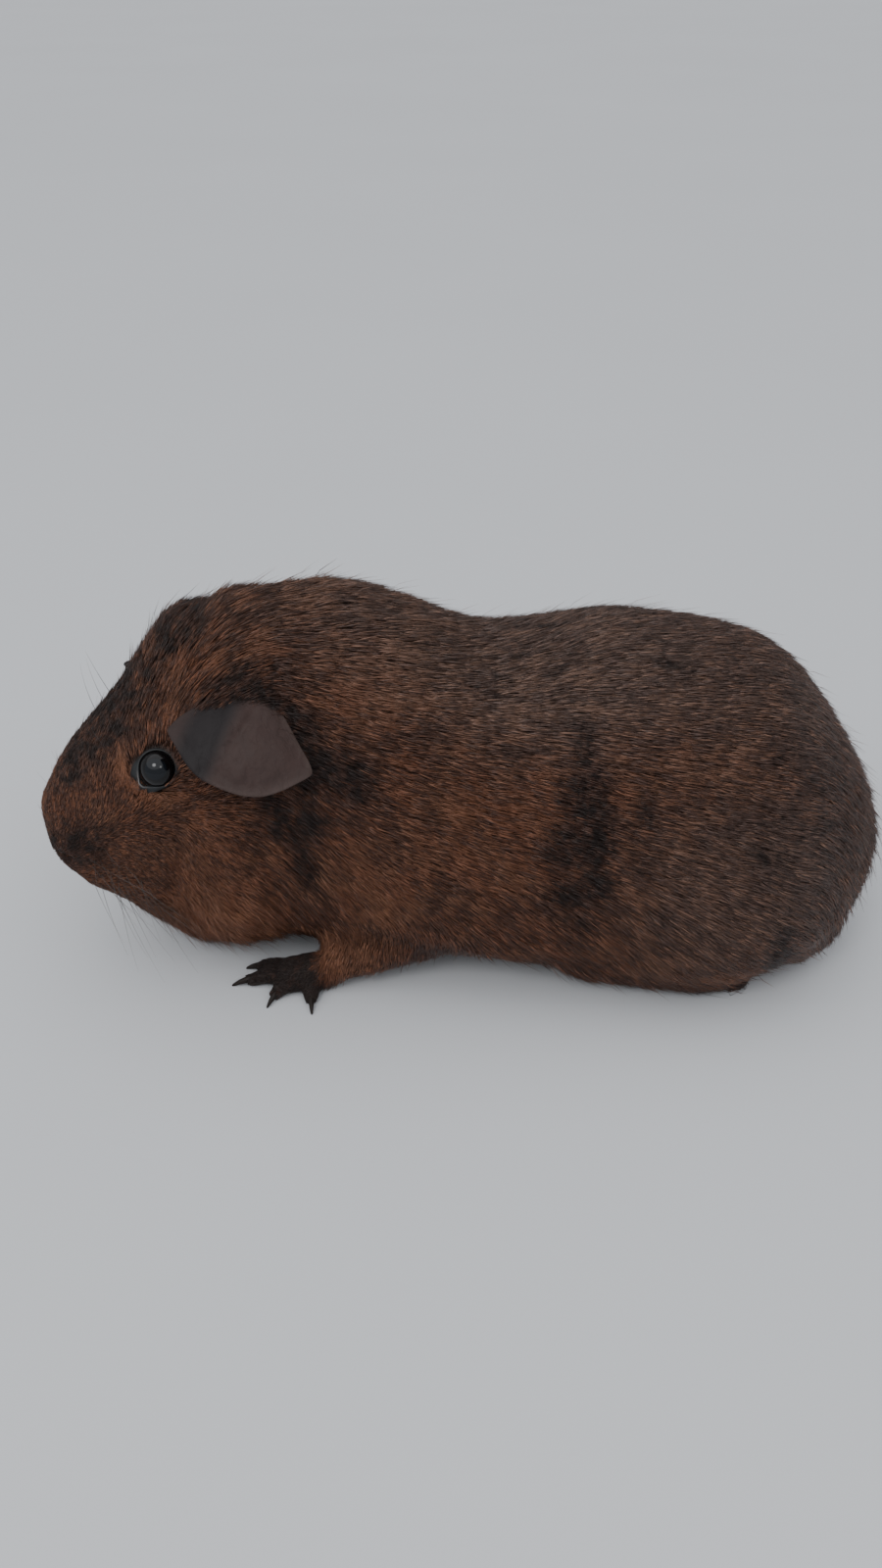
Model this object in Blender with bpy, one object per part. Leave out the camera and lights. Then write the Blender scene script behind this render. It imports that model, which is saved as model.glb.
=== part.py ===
"""A smooth-coated guinea pig at life size, crouched on all fours with its head turned a little to its left.

The animal faces -X, its left side is -Y and +Z is up. Flesh is blocked out from lofts, ellipsoids and
tapered capsules, fused into one body and parted again with thin cuts at the head, neck and legs. Feet,
claws, ears and eyes are made apart and let into it. The solids are the outer surface of the coat.
"""

import math

import bpy
import bmesh
import numpy as np
from mathutils import Matrix, Vector

MM = 0.001
LIFE_SIZE = 0.92  # the lines below are drawn for a 253 mm animal, and this one is 233 mm long
GAP = 0.33  # thin cut between neighbouring pieces, 0.3 mm at life size

# ---------------------------------------------------------------- driving dimensions, in millimetres
RUMP_END = 130.0  # the trunk runs from here ...
NAPE_END = -98.0  # ... to here, inside the head
RUMP_ROUNDING = 40.0
NAPE_ROUNDING = 34.0
# Lines of the trunk against the distance along X, as on a boat builder's plan.
BACK_LINE = ((-98, 111), (-78, 117), (-58, 120), (-38, 120), (-14, 112.5), (8, 105), (26, 106.5),
             (42, 109), (60, 107.5), (84, 102.5), (104, 93), (130, 72))
BELLY_LINE = ((-98, 14), (-78, 8), (-58, 7), (-38, 6), (-10, 4.5), (30, 3.5), (70, 2.5), (100, 2), (130, 6))
TRUNK_HALF_WIDTH = ((-98, 25), (-78, 30), (-58, 34), (-38, 39), (-10, 45.5), (24, 50), (60, 52), (86, 51),
                    (108, 47), (130, 37))
TRUNK_WIDEST_LEVEL = ((-98, 46), (-58, 40), (-10, 36), (40, 33), (90, 32), (130, 36))
TRUNK_SWAY = ((-98, -10), (-70, -6), (-40, 0), (130, 0))  # the neck bends after the head
TRUNK_ROUNDNESS = 2.2  # exponent of the section's superellipse

# The head's own lines, against the distance back from the nose tip along its axis.
HEAD_LENGTH = 100.0
NOSE_ROUNDING = 8.0
OCCIPUT_ROUNDING = 34.0
FOREHEAD_LINE = ((0, 10), (5, 16), (12, 21.5), (24, 28), (36, 31.2), (48, 34.8), (60, 41.2), (72, 46),
                 (86, 46.5), (100, 42))
JAW_LINE = ((0, -9), (4, -15), (8, -24), (13, -38.5), (20, -52), (30, -57), (42, -60.5), (56, -61), (72, -59),
            (100, -48))
HEAD_HALF_WIDTH = ((0, 9.5), (6, 12), (14, 16), (24, 22), (36, 27), (50, 30.5), (64, 31), (84, 30), (100, 30))
HEAD_WIDEST_LEVEL = ((0, 0), (14, -13), (30, -26), (60, -24), (100, 0))
HEAD_ROUNDNESS = 2.2
NOSE_TIP = (-121.0, -22.0, 42.0)
HEAD_YAW = 22.0  # degrees, towards the animal's left
HEAD_PITCH = 26.0  # degrees, nose down
# Places on the head: back from the nose tip, out from the middle, up from the axis.
EYE_AT = (43.2, 18.8, 17.2)
EYE_RADIUS = 6.0
# Middle of each leaf. The right ear is held further forward, and both roots lie in the head's flesh.
EAR_AT = {-1: (66.0, 35.5, 18.0), 1: (61.0, 30.5, 18.0)}
EAR_SLOPE = 46.0  # degrees that the leaf's long axis falls to the rear, against the head's axis
EAR_LEAN = 40.0  # degrees that the free edge stands out from the cheek
EAR_TURN = 30.0  # degrees that the leaf faces forward
EAR_THICKNESS = 1.5
EAR_BULGE = 4.0
# Radius of the leaf against the angle round its middle: 0 is the rear tip, 90 the root, 180 the front corner.
EAR_OUTLINE = ((0, 22), (20, 19), (50, 19), (90, 20), (130, 20), (165, 20.5), (180, 19.5), (205, 16.5),
               (240, 13.5), (275, 14), (310, 15), (338, 16.5), (360, 22))

# Joints of the limbs on the animal's right side: (X, out from the middle, up), and the flesh's radius there.
SHOULDER, ELBOW, WRIST = ((-30, 20, 42), 19), ((-12, 28, 19.5), 11.5), ((-37.5, 32.3, 10), 8)
KNEE, HOCK, HEEL = ((39, 32, 19), 14.3), ((73, 34, 13), 12.5), ((85, 33.5, 8.5), 7)
HAUNCH_AT, HAUNCH_RADII = (68, 29.5, 35), (43, 26, 33)
SEAT_AT, SEAT_RADII = (94.5, 20, 19), (26, 19, 17)

# Feet: the sole's middle line from the heel to the toes, then each toe's root, tip and the point of its claw.
FORE_SOLE = (((-42, 33, 6.0), 6.2), ((-51, 33.5, 4.8), 5.8))
FORE_TOES = (
    ((-52, 30, 4.2), (-61.0, 28.0, 3.2), (-66.5, 26.5, 1.2)),
    ((-53, 33.0, 4.2), (-63.5, 34.2, 3.2), (-70.0, 34.8, 1.2)),
    ((-50, 36.0, 4.2), (-55.5, 40.5, 3.2), (-58.0, 45.0, 1.2)),
    ((-45, 35.5, 4.0), (-44.5, 42.5, 3.0), (-44.0, 48.0, 1.2)),
)
HIND_SOLE = (((84, 33, 6.2), 6.2), ((70, 31.5, 4.8), 5.2), ((62, 30, 4.4), 5.4))
HIND_TOES = (
    ((62, 27.5, 4.2), (52.5, 25.0, 3.2), (47.0, 23.5, 1.3)),
    ((61, 30.5, 4.4), (49.5, 28.5, 3.3), (43.5, 27.8, 1.3)),
    ((62, 33.5, 4.2), (53.0, 33.5, 3.2), (47.5, 33.6, 1.3)),
)
TOE_RADIUS = 2.9
KNUCKLE_LIFT = 0.8  # how far a toe arches above the line from root to tip
CLAW_RADIUS = 1.35
CLAW_SEAT = Vector((0, 0, 0.6))  # a claw leaves the toe's tip this far above its middle
CLAW_ARCH = Vector((0, 0, 1.1))
CLAW_POINT = 0.28  # radius of the blunted point
SOLE_LEVEL = 1.2  # everything below is cut away, which leaves small flats for the animal to rest on

# Where the body is parted. Planes are a point and the direction of the piece ahead.
HEAD_CUT = (-63, -5, 60), (-1, -0.2, 0.05)
NECK_CUT = (-44, 0, 60), (-1, 0, 0.1)
WRIST_CUT = (-40, 32.5, 9), (-1, 0.1, -0.35)
# Regions that belong to a leg: capsules that reach from inside the trunk to outside the coat.
FORELEG_REGION = (((-23, 46, 46), 17), ((-10, 38, 16), 18), ((-37, 34, 9), 12))
HINDLEG_REGION = (((52, 44, 30), 25), ((78, 42, 30), 28), ((84, 36, 8), 17))

# How shapes are fused: voxel size, rounds of smoothing, triangles.
BODY_MESH = 1.8, 6, 2400
FOOT_MESH = 0.8, 3, 180
REGION_MESH = 3.0, 2, 120

# Base colour, roughness of each material.
COAT = (0.075, 0.033, 0.018), 0.75
FOOT_SKIN = (0.022, 0.015, 0.013), 0.65
EAR_SKIN = (0.085, 0.062, 0.055), 0.6
EYE_GLOSS = (0.006, 0.006, 0.008), 0.08
CLAW_HORN = (0.018, 0.013, 0.011), 0.4


def line(knots, at):
    """A smooth line through the knots without overshoot: cubic Hermite pieces with limited slopes."""
    xs, ys = (np.array(column, float) for column in zip(*knots))
    steps = np.diff(ys) / np.diff(xs)
    slopes = np.concatenate([[steps[0]], (steps[:-1] + steps[1:]) / 2, [steps[-1]]])
    turning = np.concatenate([[False], steps[:-1] * steps[1:] <= 0, [False]])
    slopes[turning] = 0
    at = np.clip(np.asarray(at, float), xs[0], xs[-1])
    i = np.clip(np.searchsorted(xs, at, side="right") - 1, 0, len(xs) - 2)
    width = xs[i + 1] - xs[i]
    t = (at - xs[i]) / width
    return ((2 * t**3 - 3 * t**2 + 1) * ys[i] + (t**3 - 2 * t**2 + t) * width * slopes[i]
            + (3 * t**2 - 2 * t**3) * ys[i + 1] + (t**3 - t**2) * width * slopes[i + 1])


def rounding(distance, length):
    """How much of its full section a loft has this far from an end that is rounded over a length."""
    share = np.clip(distance / length, 0, 1)
    return np.sqrt(1 - (1 - share) ** 2)


def new_object(name, bm):
    """An object at the origin from a bmesh in millimetres."""
    bmesh.ops.recalc_face_normals(bm, faces=bm.faces)
    if bm.calc_volume(signed=True) < 0:
        bmesh.ops.reverse_faces(bm, faces=bm.faces)
    mesh = bpy.data.meshes.new(name)
    bm.to_mesh(mesh)
    bm.free()
    obj = bpy.data.objects.new(name, mesh)
    bpy.context.scene.collection.objects.link(obj)
    return obj


def sphere_points(segments, rings):
    """A unit UV sphere's bmesh, and each vertex's height from -1 to 1 and angle round the axis."""
    bm = bmesh.new()
    bmesh.ops.create_uvsphere(bm, u_segments=segments, v_segments=rings, radius=1)
    points = np.array([v.co for v in bm.verts])
    return bm, np.clip(points[:, 2], -1, 1), np.arctan2(points[:, 1], points[:, 0])


def reshape(bm, points):
    for vert, point in zip(bm.verts, points):
        vert.co = point


def section(angle, half_width, top, widest, bottom, roundness):
    """A superellipse section whose upper and lower halves differ: returns its side and up coordinates."""
    c, s = np.cos(angle), np.sin(angle)
    side = half_width * np.sign(c) * np.abs(c) ** (2 / roundness)
    rise = np.sign(s) * np.abs(s) ** (2 / roundness)
    return side, widest + np.where(rise > 0, top - widest, widest - bottom) * rise


def loft(name, start, end, start_rounding, end_rounding, lines, roundness, sway=None, segments=64, rings=60):
    """A closed body along X whose sections follow the lines (top, widest level, bottom, half width)."""
    bm, height, angle = sphere_points(segments, rings)
    along = start + (end - start) * (height + 1) / 2
    top, widest, bottom, half_width = (line(knots, along) for knots in lines)
    full = rounding(along - start, start_rounding) * rounding(end - along, end_rounding)
    side, up = section(angle, half_width * full, widest + (top - widest) * full, widest,
                       widest - (widest - bottom) * full, roundness)
    if sway:
        side = side + line(sway, along)
    reshape(bm, np.column_stack([along, side, up]))
    return new_object(name, bm)


def ellipsoid(name, centre, radii, turn_z=0.0, turn_y=0.0, segments=32, rings=20):
    bm = bmesh.new()
    bmesh.ops.create_uvsphere(bm, u_segments=segments, v_segments=rings, radius=1)
    turn = Matrix.Rotation(math.radians(turn_z), 4, "Z") @ Matrix.Rotation(math.radians(turn_y), 4, "Y")
    bm.transform(Matrix.Translation(centre) @ turn @ Matrix.Diagonal((*radii, 1)))
    return new_object(name, bm)


def capsule(name, a, radius_a, b, radius_b, segments=20, rings=14):
    """The hull of two balls: a tapered, round-ended limb."""
    bm = bmesh.new()
    for centre, radius in ((a, radius_a), (b, radius_b)):
        bmesh.ops.create_uvsphere(bm, u_segments=segments, v_segments=rings, radius=radius,
                                  matrix=Matrix.Translation(centre))
    hull = bmesh.ops.convex_hull(bm, input=bm.verts)
    bmesh.ops.delete(bm, geom=list({g for g in hull["geom_interior"] + hull["geom_unused"]}), context="VERTS")
    return new_object(name, bm)


def chain(name, joints):
    """Tapered capsules through a list of (centre, radius)."""
    pairs = zip(joints, joints[1:])
    return [capsule(f"{name}_{i}", *first, *second) for i, (first, second) in enumerate(pairs)]


def evaluated(obj, name):
    """A plain mesh object with the modifiers of obj applied. obj is removed."""
    graph = bpy.context.evaluated_depsgraph_get()
    mesh = bpy.data.meshes.new_from_object(obj.evaluated_get(graph), depsgraph=graph)
    bpy.data.objects.remove(obj)
    made = bpy.data.objects.new(name, mesh)
    bpy.context.scene.collection.objects.link(made)
    return made


def fused(name, pieces, voxel, smoothing, triangles):
    """The pieces as one skin: remeshed in small voxels, smoothed and thinned to a number of triangles."""
    bm = bmesh.new()
    for piece in pieces:
        bm.from_mesh(piece.data)
        bpy.data.objects.remove(piece)
    mesh = bpy.data.meshes.new(name)
    bm.to_mesh(mesh)
    bm.free()
    obj = bpy.data.objects.new(name, mesh)
    bpy.context.scene.collection.objects.link(obj)
    remesh = obj.modifiers.new("remesh", "REMESH")
    remesh.mode, remesh.voxel_size = "VOXEL", voxel
    smooth = obj.modifiers.new("smooth", "SMOOTH")
    smooth.factor, smooth.iterations = 0.5, smoothing
    obj = evaluated(obj, name)
    thin = obj.modifiers.new("thin", "DECIMATE")
    thin.ratio = triangles / sum(len(p.vertices) - 2 for p in obj.data.polygons)
    thin.use_collapse_triangulate = True
    return evaluated(obj, name)


def boolean(obj, other, operation, name=None):
    """obj after an exact Boolean with other, which is kept."""
    modifier = obj.modifiers.new("boolean", "BOOLEAN")
    modifier.operation, modifier.object, modifier.solver = operation, other, "EXACT"
    bpy.context.view_layer.update()
    return evaluated(obj, name or obj.name)


def copy_of(obj, name):
    made = bpy.data.objects.new(name, obj.data.copy())
    bpy.context.scene.collection.objects.link(made)
    return made


def swollen(obj, by):
    """A copy of obj with its surface moved out by a distance."""
    made = copy_of(obj, obj.name + "_swollen")
    displace = made.modifiers.new("swell", "DISPLACE")
    displace.strength, displace.mid_level = by, 0
    bpy.context.view_layer.update()
    return evaluated(made, made.name)


def half_space(name, point, normal, size=400.0):
    """A big box that fills the side of a plane that its normal points to."""
    bm = bmesh.new()
    bmesh.ops.create_cube(bm, size=size)
    turn = Vector(normal).normalized().to_track_quat("Z", "Y").to_matrix().to_4x4()
    bm.transform(Matrix.Translation(point) @ turn @ Matrix.Translation((0, 0, size / 2)))
    return new_object(name, bm)


def part_by_plane(obj, point, normal, ahead, behind):
    """Two objects from one, with a thin cut between: what a plane's normal points to, and the rest."""
    unit = Vector(normal).normalized()
    front = half_space("front_side", Vector(point) + unit * GAP / 2, unit)
    back = half_space("back_side", Vector(point) - unit * GAP / 2, -unit)
    first = boolean(copy_of(obj, ahead), front, "INTERSECT")
    second = boolean(obj, back, "INTERSECT", behind)
    bpy.data.objects.remove(front)
    bpy.data.objects.remove(back)
    return first, second


# ---------------------------------------------------------------- head frame
def head_matrix():
    """From head lines (back from the nose, out to the right, up) to the animal's frame."""
    yaw = Matrix.Rotation(math.radians(HEAD_YAW), 4, "Z")
    pitch = Matrix.Rotation(math.radians(-HEAD_PITCH), 4, "Y")
    return Matrix.Translation(NOSE_TIP) @ yaw @ pitch


def head_block():
    skull = loft("skull", 0, HEAD_LENGTH, NOSE_ROUNDING, OCCIPUT_ROUNDING,
                 (FOREHEAD_LINE, HEAD_WIDEST_LEVEL, JAW_LINE, HEAD_HALF_WIDTH), HEAD_ROUNDNESS)
    skull.data.transform(head_matrix())
    return skull


def eye(name, side):
    back, out, up = EYE_AT
    centre = head_matrix() @ Vector((back, out * side, up))
    return ellipsoid(name, centre, (EYE_RADIUS,) * 3, segments=14, rings=9)


def ear(name, side):
    """A thin, bulged leaf. Its outline is given round its middle, and both faces meet in a rounded rim."""
    bm, height, angle = sphere_points(22, 7)
    reach = np.sqrt(np.clip(1 - height**2, 0, 1))
    radius = reach * line(EAR_OUTLINE, np.degrees(angle) % 360)
    up = EAR_BULGE * (1 - reach**2) + height * EAR_THICKNESS / 2
    reshape(bm, np.column_stack([radius * np.cos(angle), radius * np.sin(angle), up]))
    back, out, up = EAR_AT[side]
    # The leaf's own axes: rear tip, root and outer face, turned so that it lies on the right cheek.
    lie = Matrix(((1, 0, 0, 0), (0, 0, 1, 0), (0, 1, 0, 0), (0, 0, 0, 1)))
    turn = (Matrix.Rotation(math.radians(EAR_SLOPE), 4, "Y") @ Matrix.Rotation(math.radians(EAR_TURN), 4, "Z")
            @ Matrix.Rotation(math.radians(EAR_LEAN), 4, "X"))
    bm.transform(Matrix.Translation((back, out, up)) @ turn @ lie)
    bm.transform(Matrix.Diagonal((1, side, 1, 1)))
    bm.transform(head_matrix())
    return new_object(name, bm)


# ---------------------------------------------------------------- limbs
def on_side(point, side):
    """side is -1 for the animal's left and +1 for its right."""
    return Vector((point[0], point[1] * side, point[2]))


def joints_on(side, *joints):
    return [(on_side(point, side), radius) for point, radius in joints]


def limb_blocks(side):
    """The flesh of one side's legs, down to wrist and heel."""
    blocks = chain("foreleg", joints_on(side, SHOULDER, ELBOW, WRIST))
    blocks += [ellipsoid("haunch", on_side(HAUNCH_AT, side), HAUNCH_RADII)]
    blocks += [ellipsoid("seat", on_side(SEAT_AT, side), SEAT_RADII)]
    blocks += chain("shank", joints_on(side, KNEE, HOCK, HEEL))
    return blocks


def claw(name, side, toe):
    """A curved, pointed nail: it leaves the toe's tip and bends down to the floor."""
    root, tip, point = (on_side(place, side) for place in toe)
    along = (tip - root).normalized()
    start = tip - along + CLAW_SEAT
    bend = (start + point) / 2 + CLAW_ARCH
    bm, height, angle = sphere_points(6, 5)
    share = (height + 1) / 2
    path = np.array([start * (1 - t) ** 2 + bend * 2 * t * (1 - t) + point * t**2 for t in share])
    across = along.cross(Vector((0, 0, 1))).normalized()
    over = across.cross(along)
    thick = CLAW_RADIUS * rounding(share, 0.25) * (1 - share) ** 0.7 + CLAW_POINT * rounding(1 - share, 0.1)
    thick[(share < 1e-6) | (share > 1 - 1e-6)] = 0
    offset = np.outer(np.cos(angle) * thick * 0.8, across) + np.outer(np.sin(angle) * thick, over)
    reshape(bm, path + offset)
    return new_object(name, bm)


def foot(name, side, sole, toes):
    blocks = chain(name, joints_on(side, *sole))
    for root, tip, _ in toes:
        knuckle = (Vector(root) + Vector(tip)) / 2 + Vector((0, 0, KNUCKLE_LIFT))
        blocks += chain(name + "_toe", joints_on(side, (root, TOE_RADIUS * 1.2), (knuckle, TOE_RADIUS),
                                                 (tip, TOE_RADIUS * 0.83)))
    return fused(name, blocks, *FOOT_MESH)


# ---------------------------------------------------------------- parting
def cut_away(obj, other):
    """obj with a socket for other, a thin cut wider. Returns the new obj."""
    socket = swollen(other, GAP)
    obj = boolean(obj, socket, "DIFFERENCE")
    bpy.data.objects.remove(socket)
    return obj


def trimmed(obj, point, normal):
    """obj without what lies behind a plane."""
    keep = half_space("keep", point, normal)
    obj = boolean(obj, keep, "INTERSECT")
    bpy.data.objects.remove(keep)
    return obj


def flattened(obj):
    """obj with a flat underside, where it reaches below the level of the soles."""
    if min(v.co.z for v in obj.data.vertices) > SOLE_LEVEL:
        return obj
    return trimmed(obj, (0, 0, SOLE_LEVEL), (0, 0, 1))


def split_off(body, region_joints, name, side):
    """The body's share inside a region as a piece of its own, and the body without it."""
    region = fused("region", chain("region", joints_on(side, *region_joints)), *REGION_MESH)
    leg = boolean(copy_of(body, name), region, "INTERSECT")
    body = cut_away(body, region)
    bpy.data.objects.remove(region)
    return leg, body


def without_crumbs(obj):
    """obj as its biggest body: the cuts can leave loose slivers beside a foot."""
    bm = bmesh.new()
    bm.from_mesh(obj.data)
    left, bodies = set(bm.verts), []
    while left:
        found, edge = set(), {left.pop()}
        while edge:
            found |= edge
            edge = {other for vert in edge for link in vert.link_edges for other in link.verts} - found
        left -= found
        bodies.append(found)
    bodies.sort(key=len)
    bmesh.ops.delete(bm, geom=[vert for body in bodies[:-1] for vert in body], context="VERTS")
    bm.to_mesh(obj.data)
    bm.free()
    return obj


def clawed(paw, side, prefix, toes):
    """A foot with sockets for its claws, and the claws."""
    claws = [claw(f"{prefix}_{i}", side, toe) for i, toe in enumerate(toes, 1)]
    for nail in claws:
        paw = cut_away(paw, nail)
    return [paw, *claws]


def fore_limb(foreleg, side, word):
    """Foreleg, forefoot and claws. The foot meets the leg at the wrist."""
    point, ahead = (on_side(v, side) for v in WRIST_CUT)
    unit = ahead.normalized()
    foreleg = trimmed(foreleg, point - unit * GAP / 2, -unit)
    forefoot = trimmed(foot(f"forefoot_{word}", side, FORE_SOLE, FORE_TOES), point + unit * GAP / 2, unit)
    return [foreleg, *clawed(forefoot, side, f"fore_claw_{word}", FORE_TOES)]


def painted(obj):
    """Gives obj its own material, by the kind of piece that its name tells."""
    kinds = (("ear", EAR_SKIN), ("eye", EYE_GLOSS), ("claw", CLAW_HORN), ("foot", FOOT_SKIN), ("", COAT))
    colour, roughness = next(look for word, look in kinds if word in obj.name)
    material = bpy.data.materials.new(obj.name)
    material.use_nodes = True
    shader = material.node_tree.nodes["Principled BSDF"]
    shader.inputs["Base Color"].default_value = (*colour, 1)
    shader.inputs["Roughness"].default_value = roughness
    shader.inputs["Metallic"].default_value = 0
    obj.data.materials.clear()
    obj.data.materials.append(material)


def extent(objects):
    """Lowest and highest corner of the objects' box."""
    points = np.array([v.co for obj in objects for v in obj.data.vertices])
    return Vector(points.min(axis=0)), Vector(points.max(axis=0))


def set_down(nodes):
    """Brings the pieces to life size, centred over the floor, each with its origin in its own middle."""
    low, high = extent(nodes)
    shift = Matrix.Translation((-(low.x + high.x) / 2, -(low.y + high.y) / 2, -low.z))
    animal = bpy.data.objects.new("guinea_pig", None)
    bpy.context.scene.collection.objects.link(animal)
    for obj in nodes:
        obj.data.transform(Matrix.Scale(MM * LIFE_SIZE, 4) @ shift)
        middle = sum(extent([obj]), Vector()) / 2
        obj.data.transform(Matrix.Translation(-middle))
        obj.location = middle
        obj.parent = animal
        obj.data.shade_smooth()
        obj.data.set_sharp_from_angle(angle=math.radians(45))


def main():
    for obj in list(bpy.data.objects):
        bpy.data.objects.remove(obj)
    trunk = loft("trunk", NAPE_END, RUMP_END, NAPE_ROUNDING, RUMP_ROUNDING,
                 (BACK_LINE, TRUNK_WIDEST_LEVEL, BELLY_LINE, TRUNK_HALF_WIDTH), TRUNK_ROUNDNESS, TRUNK_SWAY)
    body = fused("body", [trunk, head_block(), *limb_blocks(-1), *limb_blocks(1)], *BODY_MESH)
    nodes = []
    for side, word in ((-1, "left"), (1, "right")):
        nodes.append(cut_away(ear(f"ear_{word}", side), body))
    for side, word in ((-1, "left"), (1, "right")):
        ball = eye(f"eye_{word}", side)
        body = cut_away(body, ball)
        hindfoot = foot(f"hindfoot_{word}", side, HIND_SOLE, HIND_TOES)
        body = cut_away(body, hindfoot)
        hindfoot, *claws = clawed(hindfoot, side, f"hind_claw_{word}", HIND_TOES)
        for nail in claws:  # the toes are tucked under the flank
            body = cut_away(body, nail)
        foreleg, body = split_off(body, FORELEG_REGION, f"foreleg_{word}", side)
        hindleg, body = split_off(body, HINDLEG_REGION, f"hindleg_{word}", side)
        nodes += [ball, hindleg, hindfoot, *claws]
        nodes += fore_limb(foreleg, side, word)
    head, body = part_by_plane(body, *HEAD_CUT, "head", "body")
    neck, trunk = part_by_plane(body, *NECK_CUT, "neck", "trunk")
    nodes += [head, neck, without_crumbs(trunk)]
    nodes = [flattened(obj) for obj in nodes]
    for obj in nodes:
        painted(obj)
    set_down(nodes)


main()
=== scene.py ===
"""Life-size still model of a short-haired guinea pig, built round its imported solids.

One skin replaces the flesh solids. A solid coat of tufts lies over it, and the ears, eyes, lids, claws and
whiskers are pieces of their own. Each piece or group of like pieces has its own operator in the panel.
"""

import math

import bpy
import numpy as np
from bpy.props import FloatProperty, FloatVectorProperty, IntProperty, PointerProperty
from bpy.types import Operator, Panel, PropertyGroup
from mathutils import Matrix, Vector
from mathutils.bvhtree import BVHTree


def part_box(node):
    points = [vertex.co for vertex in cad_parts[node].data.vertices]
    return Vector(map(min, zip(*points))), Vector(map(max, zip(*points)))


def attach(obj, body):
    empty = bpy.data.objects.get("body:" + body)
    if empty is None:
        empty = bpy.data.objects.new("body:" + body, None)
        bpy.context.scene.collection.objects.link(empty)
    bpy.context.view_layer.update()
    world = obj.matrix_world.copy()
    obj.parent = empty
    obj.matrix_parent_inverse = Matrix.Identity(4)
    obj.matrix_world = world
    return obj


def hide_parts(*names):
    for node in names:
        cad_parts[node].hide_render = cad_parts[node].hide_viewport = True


bl_info = {
    "name": "Guinea Pig Model",
    "version": (1, 0, 0),
    "blender": (4, 5, 0),
    "location": "View3D > Sidebar > Guinea Pig",
    "description": "Builds the skin, coat, ears, eyes, claws and whiskers of a life-size guinea pig",
    "category": "Object",
}

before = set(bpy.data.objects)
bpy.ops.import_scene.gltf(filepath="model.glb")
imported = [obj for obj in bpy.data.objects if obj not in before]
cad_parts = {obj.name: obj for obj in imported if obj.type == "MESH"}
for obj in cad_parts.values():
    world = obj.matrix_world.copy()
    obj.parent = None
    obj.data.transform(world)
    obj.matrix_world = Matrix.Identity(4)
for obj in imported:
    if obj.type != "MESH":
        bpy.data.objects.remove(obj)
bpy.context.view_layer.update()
MM = 0.001
SIDES = {"left": -1, "right": 1}
FLESH = [n for n in sorted(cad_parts) if n.split("_")[0] in
         ("head", "neck", "trunk", "foreleg", "hindleg", "forefoot", "hindfoot")]

# ---------------------------------------------------------------- places on the animal

HEAD_PITCH = math.radians(26)  # how far the nose points down
EYE_FROM_NOSE = (39.7, 17.3, 15.8)  # back, out and up from the tip of the nose, mm


def middle(node):
    low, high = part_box(node)
    return (low + high) / 2


EYE_CENTRES = {side: middle("eye_" + side) for side in SIDES}
EYE_SIZE = (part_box("eye_left")[1].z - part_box("eye_left")[0].z) / 2
TO_RIGHT = (EYE_CENTRES["right"] - EYE_CENTRES["left"]).normalized()
LEVEL_BACK = TO_RIGHT.cross(Vector((0, 0, 1)))
HEAD_BACK = LEVEL_BACK * math.cos(HEAD_PITCH) + Vector((0, 0, math.sin(HEAD_PITCH)))
HEAD_UP = HEAD_BACK.cross(TO_RIGHT)
NOSE = ((EYE_CENTRES["left"] + EYE_CENTRES["right"]) / 2
        - HEAD_BACK * EYE_FROM_NOSE[0] * MM - HEAD_UP * EYE_FROM_NOSE[2] * MM)
HEAD_TURN = np.array([HEAD_BACK, TO_RIGHT, HEAD_UP])


def in_head(points):
    """Back, to the right and up from the tip of the nose, in mm."""
    return (np.asarray(points, float) - np.array(NOSE)) @ HEAD_TURN.T / MM


def from_head(back, out, up, side=1):
    return NOSE + (HEAD_BACK * back + TO_RIGHT * out * side + HEAD_UP * up) * MM


def unit(vectors):
    vectors = np.asarray(vectors, float)
    return vectors / np.maximum(np.linalg.norm(vectors, axis=-1, keepdims=True), 1e-12)


def ramp(values, start, end):
    """0 before start and 1 past end, with a smooth rise between them."""
    t = np.clip((np.asarray(values, float) - start) / (end - start), 0, 1)
    return t * t * (3 - 2 * t)


def blob(points, centre, size):
    """1 at the centre of a soft ellipsoid, falling to 0 at its sizes."""
    r = np.linalg.norm((points - np.array(centre)) / np.array(size), axis=1)
    return 1 - ramp(r, 0.25, 1.0)


def line(knots, at):
    """A smooth line through the knots without overshoot: cubic pieces with limited slopes."""
    xs, ys = (np.array(column, float) for column in zip(*knots))
    steps = np.diff(ys) / np.diff(xs)
    slopes = np.concatenate([[steps[0]], (steps[:-1] + steps[1:]) / 2, [steps[-1]]])
    slopes[np.flatnonzero(steps[:-1] * steps[1:] <= 0) + 1] = 0
    at = np.clip(np.asarray(at, float), xs[0], xs[-1])
    i = np.clip(np.searchsorted(xs, at, side="right") - 1, 0, len(xs) - 2)
    width = xs[i + 1] - xs[i]
    t = (at - xs[i]) / width
    return ((2 * t ** 3 - 3 * t ** 2 + 1) * ys[i] + (t ** 3 - 2 * t ** 2 + t) * width * slopes[i]
            + (3 * t ** 2 - 2 * t ** 3) * ys[i + 1] + (t ** 3 - t ** 2) * width * slopes[i + 1])


def waves(points, length, seed, count=7):
    """A smooth random field from -1 to 1 with bumps about length across."""
    rng = np.random.default_rng(seed)
    total = np.zeros(len(points))
    for _ in range(count):
        way = unit(rng.normal(size=3)) * 2 * math.pi / length * rng.uniform(0.6, 1.5)
        total += np.sin(points @ way + rng.uniform(0, 2 * math.pi))
    return np.clip(total / math.sqrt(count) / 1.4, -1, 1)


# ---------------------------------------------------------------- mesh helpers


def pick(obj):
    if bpy.context.mode != "OBJECT":
        bpy.ops.object.mode_set(mode="OBJECT")
    bpy.ops.object.select_all(action="DESELECT")
    bpy.context.view_layer.objects.active = obj
    obj.select_set(True)


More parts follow.
